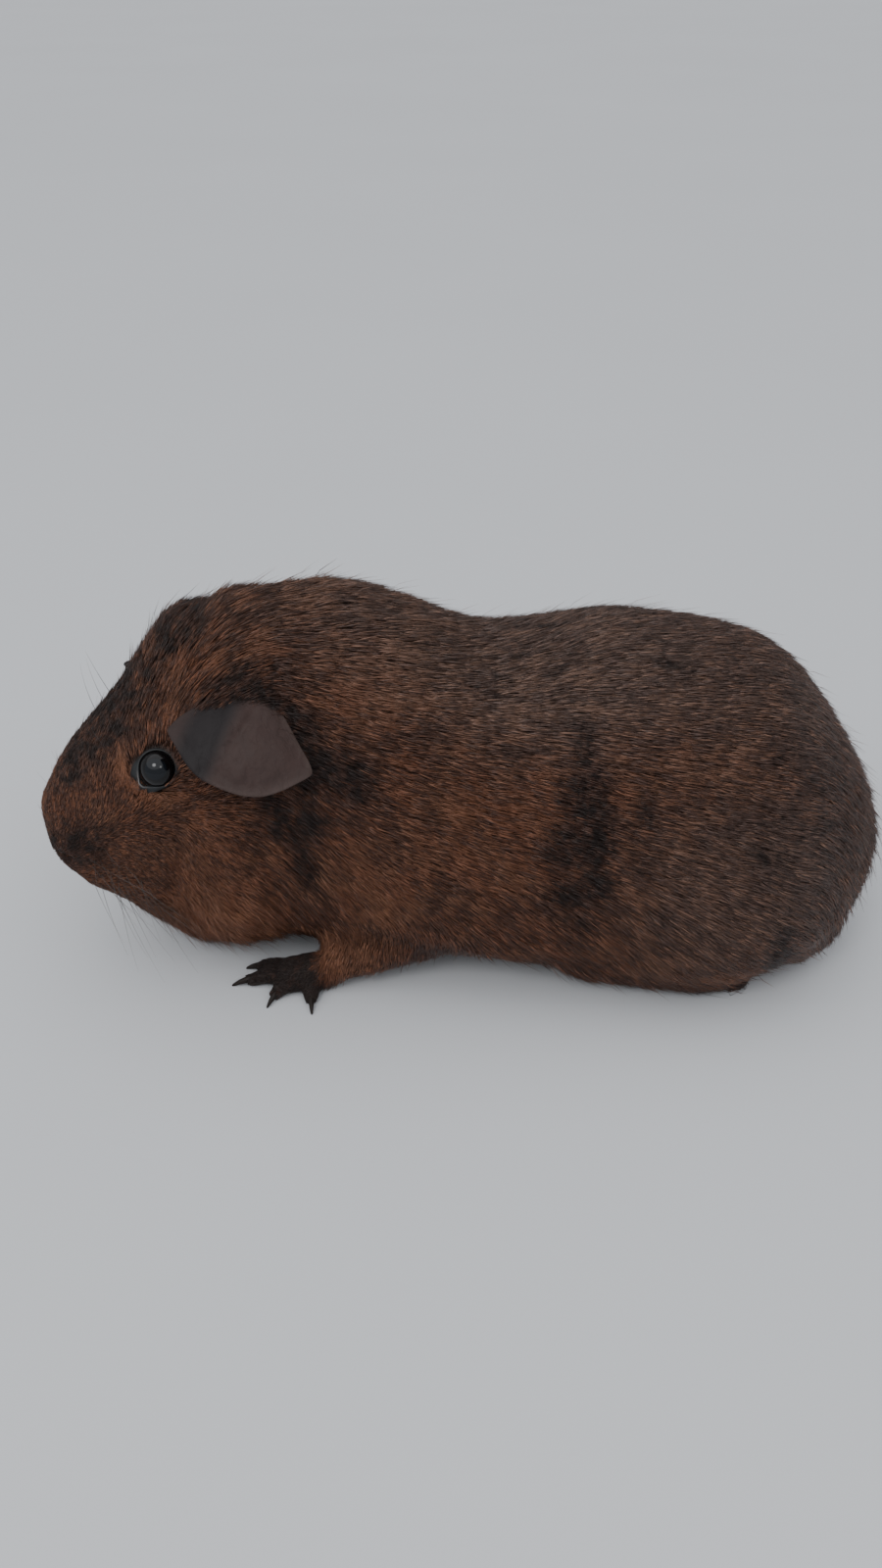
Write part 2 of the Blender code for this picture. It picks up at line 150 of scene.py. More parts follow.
def apply_modifier(obj, kind, **settings):
    pick(obj)
    modifier = obj.modifiers.new(kind.title(), kind)
    for key, value in settings.items():
        setattr(modifier, key, value)
    bpy.ops.object.modifier_apply(modifier=modifier.name)


def at_vertices(obj, kind):
    values = np.empty(len(obj.data.vertices) * 3, np.float32)
    obj.data.vertices.foreach_get(kind, values)
    return values.reshape(-1, 3).astype(float)


def points_of(obj):
    return at_vertices(obj, "co")


def normals_of(obj):
    return at_vertices(obj, "normal")


def move_points(obj, points):
    obj.data.vertices.foreach_set("co", np.asarray(points, np.float32).ravel())
    obj.data.update()


def triangles_of(obj):
    obj.data.calc_loop_triangles()
    values = np.empty(len(obj.data.loop_triangles) * 3, np.int32)
    obj.data.loop_triangles.foreach_get("vertices", values)
    return values.reshape(-1, 3)


def edges_of(obj):
    values = np.empty(len(obj.data.edges) * 2, np.int32)
    obj.data.edges.foreach_get("vertices", values)
    return values.reshape(-1, 2)


def spread(values, edges, rounds):
    """Each point's values averaged with its neighbours', several times over."""
    values = np.asarray(values, float)
    flat = values.reshape(len(values), -1)
    a, b = edges[:, 0], edges[:, 1]
    count = np.bincount(a, minlength=len(flat)) + np.bincount(b, minlength=len(flat))
    count = np.maximum(count, 1)
    for _ in range(rounds):
        around = np.empty_like(flat)
        for k in range(flat.shape[1]):
            total = np.bincount(a, flat[b, k], len(flat)) + np.bincount(b, flat[a, k], len(flat))
            around[:, k] = total / count
        flat = (flat + around) / 2
    return flat.reshape(values.shape)


def set_attribute(obj, name, values):
    attribute = obj.data.attributes.get(name) or obj.data.attributes.new(name, "FLOAT", "POINT")
    attribute.data.foreach_set("value", np.asarray(values, np.float32))


def set_group(obj, name, weights):
    group = obj.vertex_groups.get(name) or obj.vertex_groups.new(name=name)
    for index, weight in enumerate(weights):
        if weight > 0.001:
            group.add([index], float(weight), "REPLACE")


def copy_of(node, name):
    """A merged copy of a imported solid, with no links to the solid itself."""
    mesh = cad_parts[node].data.copy()
    mesh.materials.clear()
    obj = bpy.data.objects.new(name, mesh)
    bpy.context.scene.collection.objects.link(obj)
    pick(obj)
    bpy.ops.object.mode_set(mode="EDIT")
    bpy.ops.mesh.select_all(action="SELECT")
    bpy.ops.mesh.remove_doubles(threshold=2e-6)
    bpy.ops.mesh.normals_make_consistent(inside=False)
    bpy.ops.object.mode_set(mode="OBJECT")
    return obj


def joined(objects, name):
    pick(objects[0])
    for obj in objects:
        obj.select_set(True)
    bpy.ops.object.join()
    objects[0].name = objects[0].data.name = name
    return objects[0]


def ball(centre, radius, name, segments=48, rings=32):
    if bpy.context.mode != "OBJECT":
        bpy.ops.object.mode_set(mode="OBJECT")
    bpy.ops.object.select_all(action="DESELECT")
    bpy.ops.mesh.primitive_uv_sphere_add(segments=segments, ring_count=rings, radius=radius, location=centre)
    obj = bpy.context.object
    obj.name = obj.data.name = name
    settle(obj)
    return obj


def settle(obj):
    """Puts an object's place into its mesh."""
    pick(obj)
    bpy.ops.object.transform_apply(location=True, rotation=True, scale=True)


def new_mesh(name, points, triangles):
    """A piece from arrays of points and triangles, shaded smooth."""
    mesh = bpy.data.meshes.new(name)
    mesh.vertices.add(len(points))
    mesh.vertices.foreach_set("co", np.asarray(points, np.float32).ravel())
    mesh.loops.add(len(triangles) * 3)
    mesh.loops.foreach_set("vertex_index", np.asarray(triangles, np.int32).ravel())
    mesh.polygons.add(len(triangles))
    mesh.polygons.foreach_set("loop_start", np.arange(len(triangles), dtype=np.int32) * 3)
    mesh.polygons.foreach_set("use_smooth", np.ones(len(triangles), bool))
    mesh.update(calc_edges=True)
    mesh.validate()
    obj = bpy.data.objects.new(name, mesh)
    bpy.context.scene.collection.objects.link(obj)
    return obj


def finished(obj, slot, material, *nodes):
    """The last step of every piece: its material, its body and the solids it stands for. The slot argument is
    not used.
    """
    obj.data.materials.clear()
    obj.data.materials.append(material)
    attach(obj, "root")
    if nodes:
        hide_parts(*nodes)
    return obj


# ---------------------------------------------------------------- settings


class CoatSettings(PropertyGroup):
    body_length: FloatProperty(name="Body tuft length", description="Length of a tuft on the back and flanks",
                               default=0.0078, min=0.001, unit="LENGTH", subtype="DISTANCE")
    face_length: FloatProperty(name="Face tuft length", description="Length of a tuft on the muzzle",
                               default=0.0022, min=0.0005, unit="LENGTH", subtype="DISTANCE")
    body_depth: FloatProperty(name="Body coat depth",
                              description="How far the skin lies below the coat's outline",
                              default=0.0020, min=0.0005, unit="LENGTH", subtype="DISTANCE")
    face_depth: FloatProperty(name="Face coat depth",
                              description="How far the skin of the face lies below the coat",
                              default=0.0008, min=0.0002, unit="LENGTH", subtype="DISTANCE")
    width: FloatProperty(name="Tuft width", description="Widest part of a tuft on the body",
                         default=0.00035, min=0.0001, unit="LENGTH", subtype="DISTANCE")
    tufts: IntProperty(name="Tufts", description="Tufts in the whole coat",
                       default=232000, min=10000, max=240000)
    seed: IntProperty(name="Seed", description="Start of the coat's random spread", default=7)
    dark: FloatVectorProperty(name="Dark hair", description="Colour of the dark brown hair", subtype="COLOR",
                              size=3, default=(0.066, 0.031, 0.0215), min=0, max=1)
    rust: FloatVectorProperty(name="Rust hair", description="Colour of the ticking", subtype="COLOR",
                              size=3, default=(0.49, 0.185, 0.088), min=0, max=1)


class FaceSettings(PropertyGroup):
    nostril_depth: FloatProperty(name="Nostril depth", description="How deep each nostril is pressed in",
                                 default=0.0022, min=0, unit="LENGTH", subtype="DISTANCE")
    lid_opening: FloatProperty(name="Lid opening", description="Half the width between the lids",
                               default=0.0046, min=0.001, unit="LENGTH", subtype="DISTANCE")
    rim_thickness: FloatProperty(name="Lid rim thickness",
                                 description="Thickness of the bare rim of the lids",
                                 default=0.00115, min=0.0003, unit="LENGTH", subtype="DISTANCE")
    whisker_length: FloatProperty(name="Whisker length", description="Length of the longest whiskers",
                                  default=0.030, min=0.005, unit="LENGTH", subtype="DISTANCE")
    eye_colour: FloatVectorProperty(name="Iris", description="Colour of the iris", subtype="COLOR", size=3,
                                    default=(0.007, 0.006, 0.0065), min=0, max=1)
    ear_colour: FloatVectorProperty(name="Ear skin", description="Colour of the bare ear", subtype="COLOR",
                                    size=3, default=(0.034, 0.0200, 0.0175), min=0, max=1)


class StageSettings(PropertyGroup):
    lens: FloatProperty(name="Lens", description="Focal length on a 36 mm frame", default=31.5, min=10,
                        unit="CAMERA")
    height_angle: FloatProperty(name="Camera height", description="Angle of the view above the floor",
                                default=math.radians(33), unit="ROTATION", subtype="ANGLE")
    distance: FloatProperty(name="Camera distance", description="From the camera to the middle of the view",
                            default=0.391, min=0.1, unit="LENGTH", subtype="DISTANCE")
    floor_colour: FloatVectorProperty(name="Floor", description="Colour of the floor", subtype="COLOR",
                                      size=3, default=(0.50, 0.51, 0.53), min=0, max=1)


# ---------------------------------------------------------------- materials


class Nodes:
    """Short words for laying out a shader."""

    def __init__(self, tree):
        self.tree = tree

    def add(self, kind, **settings):
        node = self.tree.nodes.new(kind)
        for key, value in settings.items():
            setattr(node, key, value)
        return node

    def feed(self, value, socket):
        if isinstance(value, bpy.types.NodeSocket):
            self.tree.links.new(value, socket)
        elif value is not None:
            if hasattr(socket.default_value, "__len__") and not hasattr(value, "__len__"):
                value = [value] * len(socket.default_value)
            if hasattr(value, "__len__") and len(socket.default_value) == 4 and len(value) == 3:
                value = (*value, 1)
            socket.default_value = value

    def math(self, operation, a, b=None, c=None, clamp=False):
        node = self.add("ShaderNodeMath", operation=operation, use_clamp=clamp)
        for index, value in enumerate((a, b, c)):
            self.feed(value, node.inputs[index])
        return node.outputs[0]

    def vector(self, operation, a, b=None):
        node = self.add("ShaderNodeVectorMath", operation=operation)
        self.feed(a, node.inputs[0])
        self.feed(b, node.inputs[1])
        return node.outputs["Value" if operation in ("LENGTH", "DISTANCE", "DOT_PRODUCT") else "Vector"]

    def mix(self, amount, a, b):
        node = self.add("ShaderNodeMix", data_type="RGBA")
        self.feed(amount, node.inputs["Factor"])
        self.feed(a, node.inputs[6])
        self.feed(b, node.inputs[7])
        return node.outputs[2]

    def between(self, value, low, high, out_low=0.0, out_high=1.0):
        node = self.add("ShaderNodeMapRange", interpolation_type="SMOOTHSTEP")
        self.feed(value, node.inputs["Value"])
        for key, number in (("From Min", low), ("From Max", high), ("To Min", out_low), ("To Max", out_high)):
            self.feed(number, node.inputs[key])
        return node.outputs["Result"]

    def noise(self, vector, scale, detail=3.0, roughness=0.55):
        node = self.add("ShaderNodeTexNoise")
        self.feed(vector, node.inputs["Vector"])
        self.feed(scale, node.inputs["Scale"])
        self.feed(detail, node.inputs["Detail"])
        self.feed(roughness, node.inputs["Roughness"])
        return node.outputs["Fac"]

    def bump(self, shader, height, strength, distance):
        node = self.add("ShaderNodeBump")
        node.inputs["Strength"].default_value = strength
        node.inputs["Distance"].default_value = distance
        self.feed(height, node.inputs["Height"])
        self.feed(node.outputs["Normal"], shader.inputs["Normal"])

    def attribute(self, name):
        return self.add("ShaderNodeAttribute", attribute_name=name).outputs["Fac"]

    def place(self):
        return self.add("ShaderNodeTexCoord").outputs["Object"]


def new_group(name, inputs, outputs):
    """An empty shader node group with named sockets."""
    tree = bpy.data.node_groups.new(name, "ShaderNodeTree")
    for direction, sockets in (("INPUT", inputs), ("OUTPUT", outputs)):
        for label, kind, default in sockets:
            socket = tree.interface.new_socket(name=label, in_out=direction, socket_type="NodeSocket" + kind)
            if default is not None:
                socket.default_value = default
    n = Nodes(tree)
    return tree, n, n.add("NodeGroupInput").outputs, n.add("NodeGroupOutput").inputs


def use_group(n, tree, **inputs):
    node = n.add("ShaderNodeGroup", node_tree=tree)
    for key, value in inputs.items():
        n.feed(value, node.inputs[key.replace("_", " ")])
    return node.outputs


def new_material(name):
    material = bpy.data.materials.new(name)
    material.use_nodes = True
    n = Nodes(material.node_tree)
    shader = material.node_tree.nodes["Principled BSDF"]
    return material, n, shader


def shade(colour, amount):
    return [c * amount for c in colour]


def coat_markings(coat):
    """Ticked brown coat: dark hair with rust bands, more of them where Rust is high."""
    tree, n, given, out = new_group(
        "coat_markings",
        [("Rust", "Float", 0.5), ("Tone", "Float", 0.5), ("Along", "Float", 0.6), ("Frost", "Float", 0.0),
         ("Dark Colour", "Color", (*coat.dark, 1)), ("Rust Colour", "Color", (*coat.rust, 1))],
        [("Color", "Color", None), ("Ticking", "Float", None)])
    place = n.place()
    mottle = n.noise(place, 150, 3.0, 0.6)
    fleck = n.noise(place, 450, 2.0, 0.6)
    share = n.math("ADD", given["Rust"], n.math("MULTIPLY", n.math("SUBTRACT", mottle, 0.5), 0.8))
    share = n.math("ADD", share, n.math("MULTIPLY", n.math("SUBTRACT", fleck, 0.5), 1.0))
    ticked = n.between(n.math("SUBTRACT", share, given["Tone"]), -0.13, 0.18)
    band = n.math("MULTIPLY", n.between(given["Along"], 0.12, 0.5),
                  n.between(given["Along"], 1.02, 0.84, 1.0, 0.25))
    rust = n.mix(n.between(n.noise(place, 95, 2.0), 0.35, 0.7), given["Rust Colour"],
                 n.mix(0.4, given["Rust Colour"], (0.36, 0.20, 0.11)))
    # lighter orange where Rust is high: partly the brighter hair of the cheeks, throat and forearm, partly
    # painted light on the throat, which lies in shade
    rust = n.mix(n.between(share, 0.8, 1.4), rust, (0.66, 0.275, 0.135))
    # the rust and the dark hair turn greyer where the hair is greyer: partly its own cooler tone, partly
    # painted sheen of the sky's light
    rust = n.mix(given["Frost"], rust, (0.42, 0.235, 0.155))
    amount = n.math("MULTIPLY", ticked, band, clamp=True)
    dark = n.mix(given["Frost"], given["Dark Colour"], (0.088, 0.056, 0.046))
    dark = n.mix(n.between(share, 0.27, -0.12), dark, (0.020, 0.0125, 0.0108))
    # darker towards the root: the hair's own dark base, deepened by painted shade between the tufts
    hair = n.mix(n.between(given["Along"], 0.0, 0.5), (0.020, 0.0115, 0.0085), dark)
    n.feed(n.mix(amount, hair, rust), out["Color"])
    n.feed(amount, out["Ticking"])
    return tree


def hair_grain():
    """Fine short hair lines as a height, for skin that carries only very short hair."""
    tree, n, given, out = new_group("hair_grain", [("Scale", "Float", 1.0)], [("Height", "Float", None)])
    place = n.vector("MULTIPLY", n.place(), (900, 2600, 2600))
    lines = n.noise(n.vector("SCALE", place), 1.0, 2.0, 0.6)
    n.feed(n.math("MULTIPLY", lines, given["Scale"]), out["Height"])
    return tree


def coat_material(markings):
    material, n, shader = new_material("ticked_coat")
    found = use_group(n, markings, Rust=n.attribute("rust"), Tone=n.attribute("tone"),
                      Along=n.attribute("along"), Frost=n.attribute("grey_and_painted_sheen"))
    n.feed(found["Color"], shader.inputs["Base Color"])
    n.feed(n.math("ADD", 0.40, n.math("MULTIPLY", found["Ticking"], 0.12)), shader.inputs["Roughness"])
    shader.inputs["Specular IOR Level"].default_value = 0.3
    return material


def skin_material(markings, grain):
    """The hide under the coat, and the dark bare leather of the feet where bare is high."""
    material, n, shader = new_material("hide_and_foot_skin")
    place = n.place()
    streak = n.noise(n.vector("MULTIPLY", place, (500, 1500, 1500)), 1.0, 2.0)
    hide = use_group(n, markings, Rust=n.attribute("rust"), Tone=streak, Along=0.42,
                     Frost=n.attribute("grey_and_painted_sheen"))["Color"]
    hide = n.mix(0.45, hide, (0.018, 0.0105, 0.008))
    scales = n.add("ShaderNodeTexVoronoi", feature="DISTANCE_TO_EDGE")
    n.feed(place, scales.inputs["Vector"])
    scales.inputs["Scale"].default_value = 900
    crease = n.between(scales.outputs["Distance"], 0.0, 0.12)
    leather = n.mix(n.noise(place, 300, 3.0), (0.016, 0.0100, 0.0082), (0.034, 0.0210, 0.0172))
    leather = n.mix(n.math("MULTIPLY", n.math("SUBTRACT", 1.0, crease), 0.35), leather, (0.006, 0.004, 0.004))
    bare = n.attribute("bare")
    n.feed(n.mix(bare, hide, leather), shader.inputs["Base Color"])
    n.feed(n.math("ADD", 0.6, n.math("MULTIPLY", crease, 0.08)), shader.inputs["Roughness"])
    shader.inputs["Specular IOR Level"].default_value = 0.25
    height = n.math("ADD", n.math("MULTIPLY", n.math("MULTIPLY", crease, bare), 0.35),
                    use_group(n, grain, Scale=0.8)["Height"])
    n.bump(shader, height, 0.6, 0.0003)
    return material


def ear_material(face):
    """Matte bare ear skin with faint veins and a paler rim, darkened in its front third by painted shade."""
    material, n, shader = new_material("ear_leather")
    place = n.place()
    soft = n.noise(place, 190, 4.0, 0.6)
    veins = n.noise(n.vector("MULTIPLY", place, (330, 330, 75)), 1.0, 3.0)
    vein = n.math("SUBTRACT", 1.0, n.between(n.math("ABSOLUTE", n.math("SUBTRACT", veins, 0.5)), 0.0, 0.07))
    colour = n.mix(soft, shade(face.ear_colour, 0.72), shade(face.ear_colour, 1.28))
    colour = n.mix(n.math("MULTIPLY", vein, 0.16), colour, shade(face.ear_colour, 0.45))
    # painted shade: the front third of the leaf is darkened
    front = n.math("MULTIPLY", n.between(n.attribute("from_front"), 0.43, 0.29),
                   n.between(n.attribute("from_front"), 0.0, 0.14, 0.35, 1.0))
    colour = n.mix(n.math("MULTIPLY", front, 0.9), colour, (0.0085, 0.0074, 0.0083))
    colour = n.mix(n.math("MULTIPLY", n.attribute("rim"), 0.4), colour, (0.060, 0.044, 0.039))
    n.feed(colour, shader.inputs["Base Color"])
    n.feed(n.math("ADD", 0.52, n.math("MULTIPLY", soft, 0.15)), shader.inputs["Roughness"])
    n.bump(shader, n.math("ADD", n.noise(place, 900, 3.0), n.math("MULTIPLY", vein, 0.3)), 0.45, 0.00025)
    shader.inputs["Specular IOR Level"].default_value = 0.18
    return material


def eye_material(face):
    material, n, shader = new_material("eye_gloss")
    gaze = n.attribute("gaze")
    streaks = n.noise(n.vector("MULTIPLY", n.place(), (900, 900, 900)), 1.0, 3.0)
    iris = n.mix(streaks, shade(face.eye_colour, 0.2), shade(face.eye_colour, 0.8))
    # the pupil: near black with a faint blue, a painted reflection of the sky
    colour = n.mix(n.between(gaze, 0.86, 0.89), iris, (0.0055, 0.0068, 0.0090))
    colour = n.mix(n.between(gaze, 0.52, 0.40), colour, (0.02, 0.018, 0.018))
    n.feed(colour, shader.inputs["Base Color"])
    n.feed(n.between(gaze, 0.3, 0.6, 0.12, 0.035), shader.inputs["Roughness"])
    shader.inputs["Specular IOR Level"].default_value = 0.10
    shader.inputs["Coat Weight"].default_value = 0.32
    shader.inputs["Coat Roughness"].default_value = 0.02
    return material


def lid_material():
    """Bare slate rim of the lids, with a painted highlight of wet skin along the inner edge at the front
    corner.
    """
    material, n, shader = new_material("lid_skin")
    place = n.place()
    colour = n.mix(n.noise(place, 700, 3.0), (0.009, 0.0105, 0.0115), (0.021, 0.023, 0.025))
    colour = n.mix(n.between(n.attribute("slate"), 0.0, 0.35), (0.006, 0.0062, 0.0065), colour)
    # corner: a pale line painted along the inner edge, a painted highlight of the wet skin
    colour = n.mix(n.attribute("corner"), colour, (0.17, 0.155, 0.15))
    n.feed(colour, shader.inputs["Base Color"])
    n.feed(n.between(n.attribute("inner"), 0.2, 0.9, 0.62, 0.48), shader.inputs["Roughness"])
    shader.inputs["Specular IOR Level"].default_value = 0.3
    n.bump(shader, n.noise(place, 1500, 2.0), 0.4, 0.0002)
    return material


def claw_material():
    material, n, shader = new_material("claw_keratin")
    place = n.place()
    grain = n.noise(n.vector("MULTIPLY", place, (400, 2600, 1800)), 1.0, 3.0)
    colour = n.mix(grain, (0.006, 0.004, 0.0035), (0.020, 0.0135, 0.011))
    n.feed(colour, shader.inputs["Base Color"])
    n.feed(n.math("ADD", 0.5, n.math("MULTIPLY", grain, 0.2)), shader.inputs["Roughness"])
    shader.inputs["Specular IOR Level"].default_value = 0.2
    n.bump(shader, grain, 0.4, 0.0001)
    return material


def whisker_material():
    material, n, shader = new_material("whisker_hair")
    along = n.attribute("along")
    colour = n.mix(n.noise(n.place(), 400, 2.0), (0.018, 0.014, 0.012), (0.05, 0.04, 0.036))
    colour = n.mix(n.between(along, 0.3, 1.0), colour, (0.11, 0.10, 0.095))
    n.feed(colour, shader.inputs["Base Color"])
    n.feed(n.math("ADD", 0.3, n.math("MULTIPLY", along, 0.2)), shader.inputs["Roughness"])
    return material


finishes = {}


def shared(make, *given):
    """A material or node group that is built once."""
    if make not in finishes:
        finishes[make] = make(*given)
    return finishes[make]


# ---------------------------------------------------------------- skin

OVERLAP = 0.5 * MM  # each flesh solid is swollen this much, so that they fuse
SKIN_GRAIN = 0.72 * MM
LID_OVER_EYE = 0.45 * MM
FRONT_CORNER = math.radians(192)
SLATE_SIDE = math.radians(182)  # where the bare rim of the lids is widest
DEEPEST = 4 * MM  # the skin lies less than this below the coat's outline
NOSTRIL = (3.6, 6.4, 1.6)  # back, out and up from the tip of the nose, mm

state = {}


def region_of(tree, labels, points):
    found = [tree.find_nearest(p)[2] for p in points.tolist()]
    return labels[np.array(found)]


def build_skin(coat, face):
    copies = [copy_of(n, n + "_flesh") for n in FLESH]
    corners, faces, labels = [], [], []
    for index, obj in enumerate(copies):
        triangles = triangles_of(obj) + sum(len(c) for c in corners)
        corners.append(points_of(obj))
        faces.append(triangles)
        labels += [index] * len(triangles)
    tree = BVHTree.FromPolygons(np.concatenate(corners).tolist(), np.concatenate(faces).tolist())
    labels = np.array(labels)
    for obj in copies:
        apply_modifier(obj, "DISPLACE", strength=OVERLAP, mid_level=0)
    lids = [ball(EYE_CENTRES[s], EYE_SIZE + LID_OVER_EYE + 0.1 * MM, "lid_" + s) for s in SIDES]
    skin = joined(copies + lids, "skin")
    apply_modifier(skin, "REMESH", mode="VOXEL", voxel_size=SKIN_GRAIN)
    points = points_of(skin)
    thin_out(skin, (points[:, 0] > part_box("head")[1].x - 14 * MM) & (points[:, 2] > 14 * MM), 0.42)
    refine(skin, [(EYE_CENTRES[s], 8 * MM) for s in SIDES]
           + [(from_head(4, 4, -3, s), 8.5 * MM) for s in (-1, 1)])
    region = region_of(tree, labels, points_of(skin))
    names = np.array(FLESH)[region]
    edges = edges_of(skin)
    parts = {p: spread((np.char.find(names, p) == 0).astype(float), edges, 14)
             for p in ("head", "neck", "trunk", "foreleg", "hindleg", "forefoot", "hindfoot")}
    body = parts["neck"] + parts["trunk"] + parts["foreleg"] + parts["hindleg"]
    set_group(skin, "body", np.clip(body, 0, 1))
    apply_modifier(skin, "SMOOTH", factor=0.5, iterations=26, vertex_group="body")
    apply_modifier(skin, "SMOOTH", factor=0.5, iterations=3)
    depth = coat_depth(points_of(skin), parts, coat) + OVERLAP
    set_group(skin, "depth", depth / DEEPEST)
    apply_modifier(skin, "DISPLACE", strength=-DEEPEST, mid_level=0, vertex_group="depth")
    shape_face(skin, face)
    skin.vertex_groups.clear()
    state["parts"] = parts
    return skin


def edit_chosen(obj, chosen, change, **settings):
    """Runs one edit mode operator on the points where chosen is true, and leaves only triangles."""
    pick(obj)
    obj.data.polygons.foreach_set("select", np.zeros(len(obj.data.polygons), bool))
    obj.data.edges.foreach_set("select", np.zeros(len(obj.data.edges), bool))
    obj.data.vertices.foreach_set("select", np.asarray(chosen, bool))
    bpy.context.tool_settings.mesh_select_mode = (True, False, False)
    bpy.ops.object.mode_set(mode="EDIT")
    change(**settings)
    bpy.ops.mesh.select_all(action="SELECT")
    bpy.ops.mesh.quads_convert_to_tris()
    bpy.ops.object.mode_set(mode="OBJECT")


def thin_out(obj, chosen, ratio):
    """Fewer triangles where chosen is true."""
    edit_chosen(obj, chosen, bpy.ops.mesh.decimate, ratio=ratio)


def coat_depth(points, parts, coat):
    """How far the skin lies below the outline of the coat, by place."""
    head = in_head(points)
    face = coat.face_depth * (1 - ramp(head[:, 0], 34, 66)) + coat.body_depth * 0.8 * ramp(head[:, 0], 34, 66)
    near_eye = np.min([np.linalg.norm(points - np.array(EYE_CENTRES[s]), axis=1) for s in SIDES], axis=0) / MM
    face = face * ramp(near_eye, 6.2, 10) + 0.05 * MM * (1 - ramp(near_eye, 6.2, 10))
    foot = 0.25 * MM
    depth = (parts["head"] * face + (parts["neck"] + parts["trunk"] + parts["hindleg"]) * coat.body_depth
             + parts["foreleg"] * coat.body_depth * 0.75 + (parts["forefoot"] + parts["hindfoot"]) * foot)
    return depth


def eye_frame(side):
    """Outward gaze, back and up of an eye, as unit vectors."""
    sign = SIDES[side]
    gaze = (TO_RIGHT * sign * 0.84 + HEAD_UP * 0.54 - HEAD_BACK * 0.06).normalized()
    back = (HEAD_BACK - gaze * HEAD_BACK.dot(gaze)).normalized()
    up = back.cross(gaze) if sign < 0 else gaze.cross(back)
    if up.dot(HEAD_UP) < 0:
        up.negate()
    return np.array(gaze), np.array(back), np.array(up)


def lid_outline(angle, opening):
    """Half-width of the opening between the lids, where 0 is to the rear and 90 degrees is up."""
    aside = np.abs((angle - FRONT_CORNER + math.pi) % (2 * math.pi) - math.pi)
    # the two straight edges that meet in the corner
    straight = 1 / np.cos(np.clip(math.pi / 4 - aside, 0, None))
    return opening * (1 + np.minimum(straight - 1, 0.27))


def from_nostril(local, size):
    """Square of the distance from the nostril's middle, in its sizes."""
    return (((local - np.array(NOSTRIL)) / np.array(size)) ** 2).sum(1)


def shape_face(skin, face):
    """Opens the lids and presses in the nostrils, the cleft of the lip and the mouth."""
    points, normals = points_of(skin), normals_of(skin)
    for side in SIDES:
        gaze, back, up = eye_frame(side)
        away = points - np.array(EYE_CENTRES[side])
        distance = np.linalg.norm(away, axis=1)
        way = unit(away)
        flat_back, flat_up, ahead = way @ back, way @ up, way @ gaze
        reach = np.hypot(flat_back, flat_up) * EYE_SIZE
        opening = lid_outline(np.arctan2(flat_up, flat_back), face.lid_opening)
        inside = (distance < EYE_SIZE * 1.5) & (ahead > 0.2) & (reach < opening)
        points[inside] = np.array(EYE_CENTRES[side]) + way[inside] * EYE_SIZE * 0.80
    move_points(skin, points)
    head = in_head(points)
    out = np.abs(head[:, 1])
    inward = np.zeros_like(points)
    back, right, up = HEAD_TURN
    for side in (-1, 1):
        local = head * (1, side, 1)
        nostril = np.exp(-from_nostril(local, (2.4, 1.9, 1.5)) * 1.2)
        inward += nostril[:, None] * (back * 0.7 - right * side * 0.35)[None] * face.nostril_depth
        wing = np.exp(-(((local[:, 0] - 4.6) / 3.2) ** 2 + ((local[:, 1] - 7.6) / 2.2) ** 2
                        + ((local[:, 2] - 4.0) / 2.0) ** 2))
        inward += wing[:, None] * normals * 0.5 * MM
        pad = np.exp(-(((local[:, 0] - 7.5) / 6) ** 2 + ((local[:, 1] - 8.5) / 4.5) ** 2
                       + ((local[:, 2] + 8) / 5) ** 2))
        inward += pad[:, None] * normals * 0.9 * MM
    fore = 1 - ramp(head[:, 0], 6, 12)
    cleft = np.exp(-(out / 0.55) ** 2) * fore * ramp(head[:, 2], -15.5, -12) * (1 - ramp(head[:, 2], -1.5, 1))
    mouth_level = -13.6 - 0.28 * out
    mouth = (np.exp(-((head[:, 2] - mouth_level) / 0.75) ** 2) * (1 - ramp(out, 6, 9.5))
             * (1 - ramp(head[:, 0], 9, 15)))
    inward -= normals * ((cleft * 0.8 + mouth * 1.1) * MM)[:, None]
    move_points(skin, points + inward)


def near_nostril(head):
    """1 on the dark bare skin in and round the nostrils."""
    return np.maximum(*[blob(head * (1, side, 1), (3.6, 6.2, 1.4), (4.2, 3.6, 3.0)) for side in (-1, 1)])


def refine(obj, places):
    """Splits the faces near each place once, so that small folds hold their shape."""
    points = points_of(obj)
    chosen = np.zeros(len(points), bool)
    for centre, radius in places:
        chosen |= np.linalg.norm(points - np.array(centre), axis=1) < radius
    edit_chosen(obj, chosen, bpy.ops.mesh.subdivide, number_cuts=1, smoothness=0)


# Patches of the coat: centre, sizes, and how much is added there. Most are the coat's own markings; the few
# darkest round the ear and in folds are painted shade. They are mirrored onto the other side.
RUST_AND_PAINTED_SHADE_ON_HEAD = (  # back, out and up from the tip of the nose, mm
    ((32, 27, -16), (24, 22, 22), 0.24),  # cheek
    ((28, 24, -32), (24, 24, 20), 0.52),  # throat
    ((31, 16, 18), (6, 7, 7), 0.62),  # in front of the eye
    ((34, 20, 10), (8, 8, 5), 0.55),  # below the eye
    ((62, 27, 23), (20, 14, 13), -0.85),  # above the ear: black hair with painted shade along the ear's top edge
    ((69, 35, 10), (16, 14, 16), -0.75),  # behind the ear: black hair with painted shade
    ((57, 36, -4), (20, 14, 8), -0.42),  # below the ear: painted shadow under the ear's lower edge
    ((20, 18, -12), (7, 9, 5), -0.22),  # whisker pad
    ((6, 6, 6), (16, 14, 14), -0.30),  # nose
    ((30, 0, 30), (34, 24, 20), -0.58),  # forehead
    ((54, 10, 46), (28, 26, 16), -0.80),  # crown
    ((14, 12, 0), (14, 14, 12), -0.12))  # muzzle
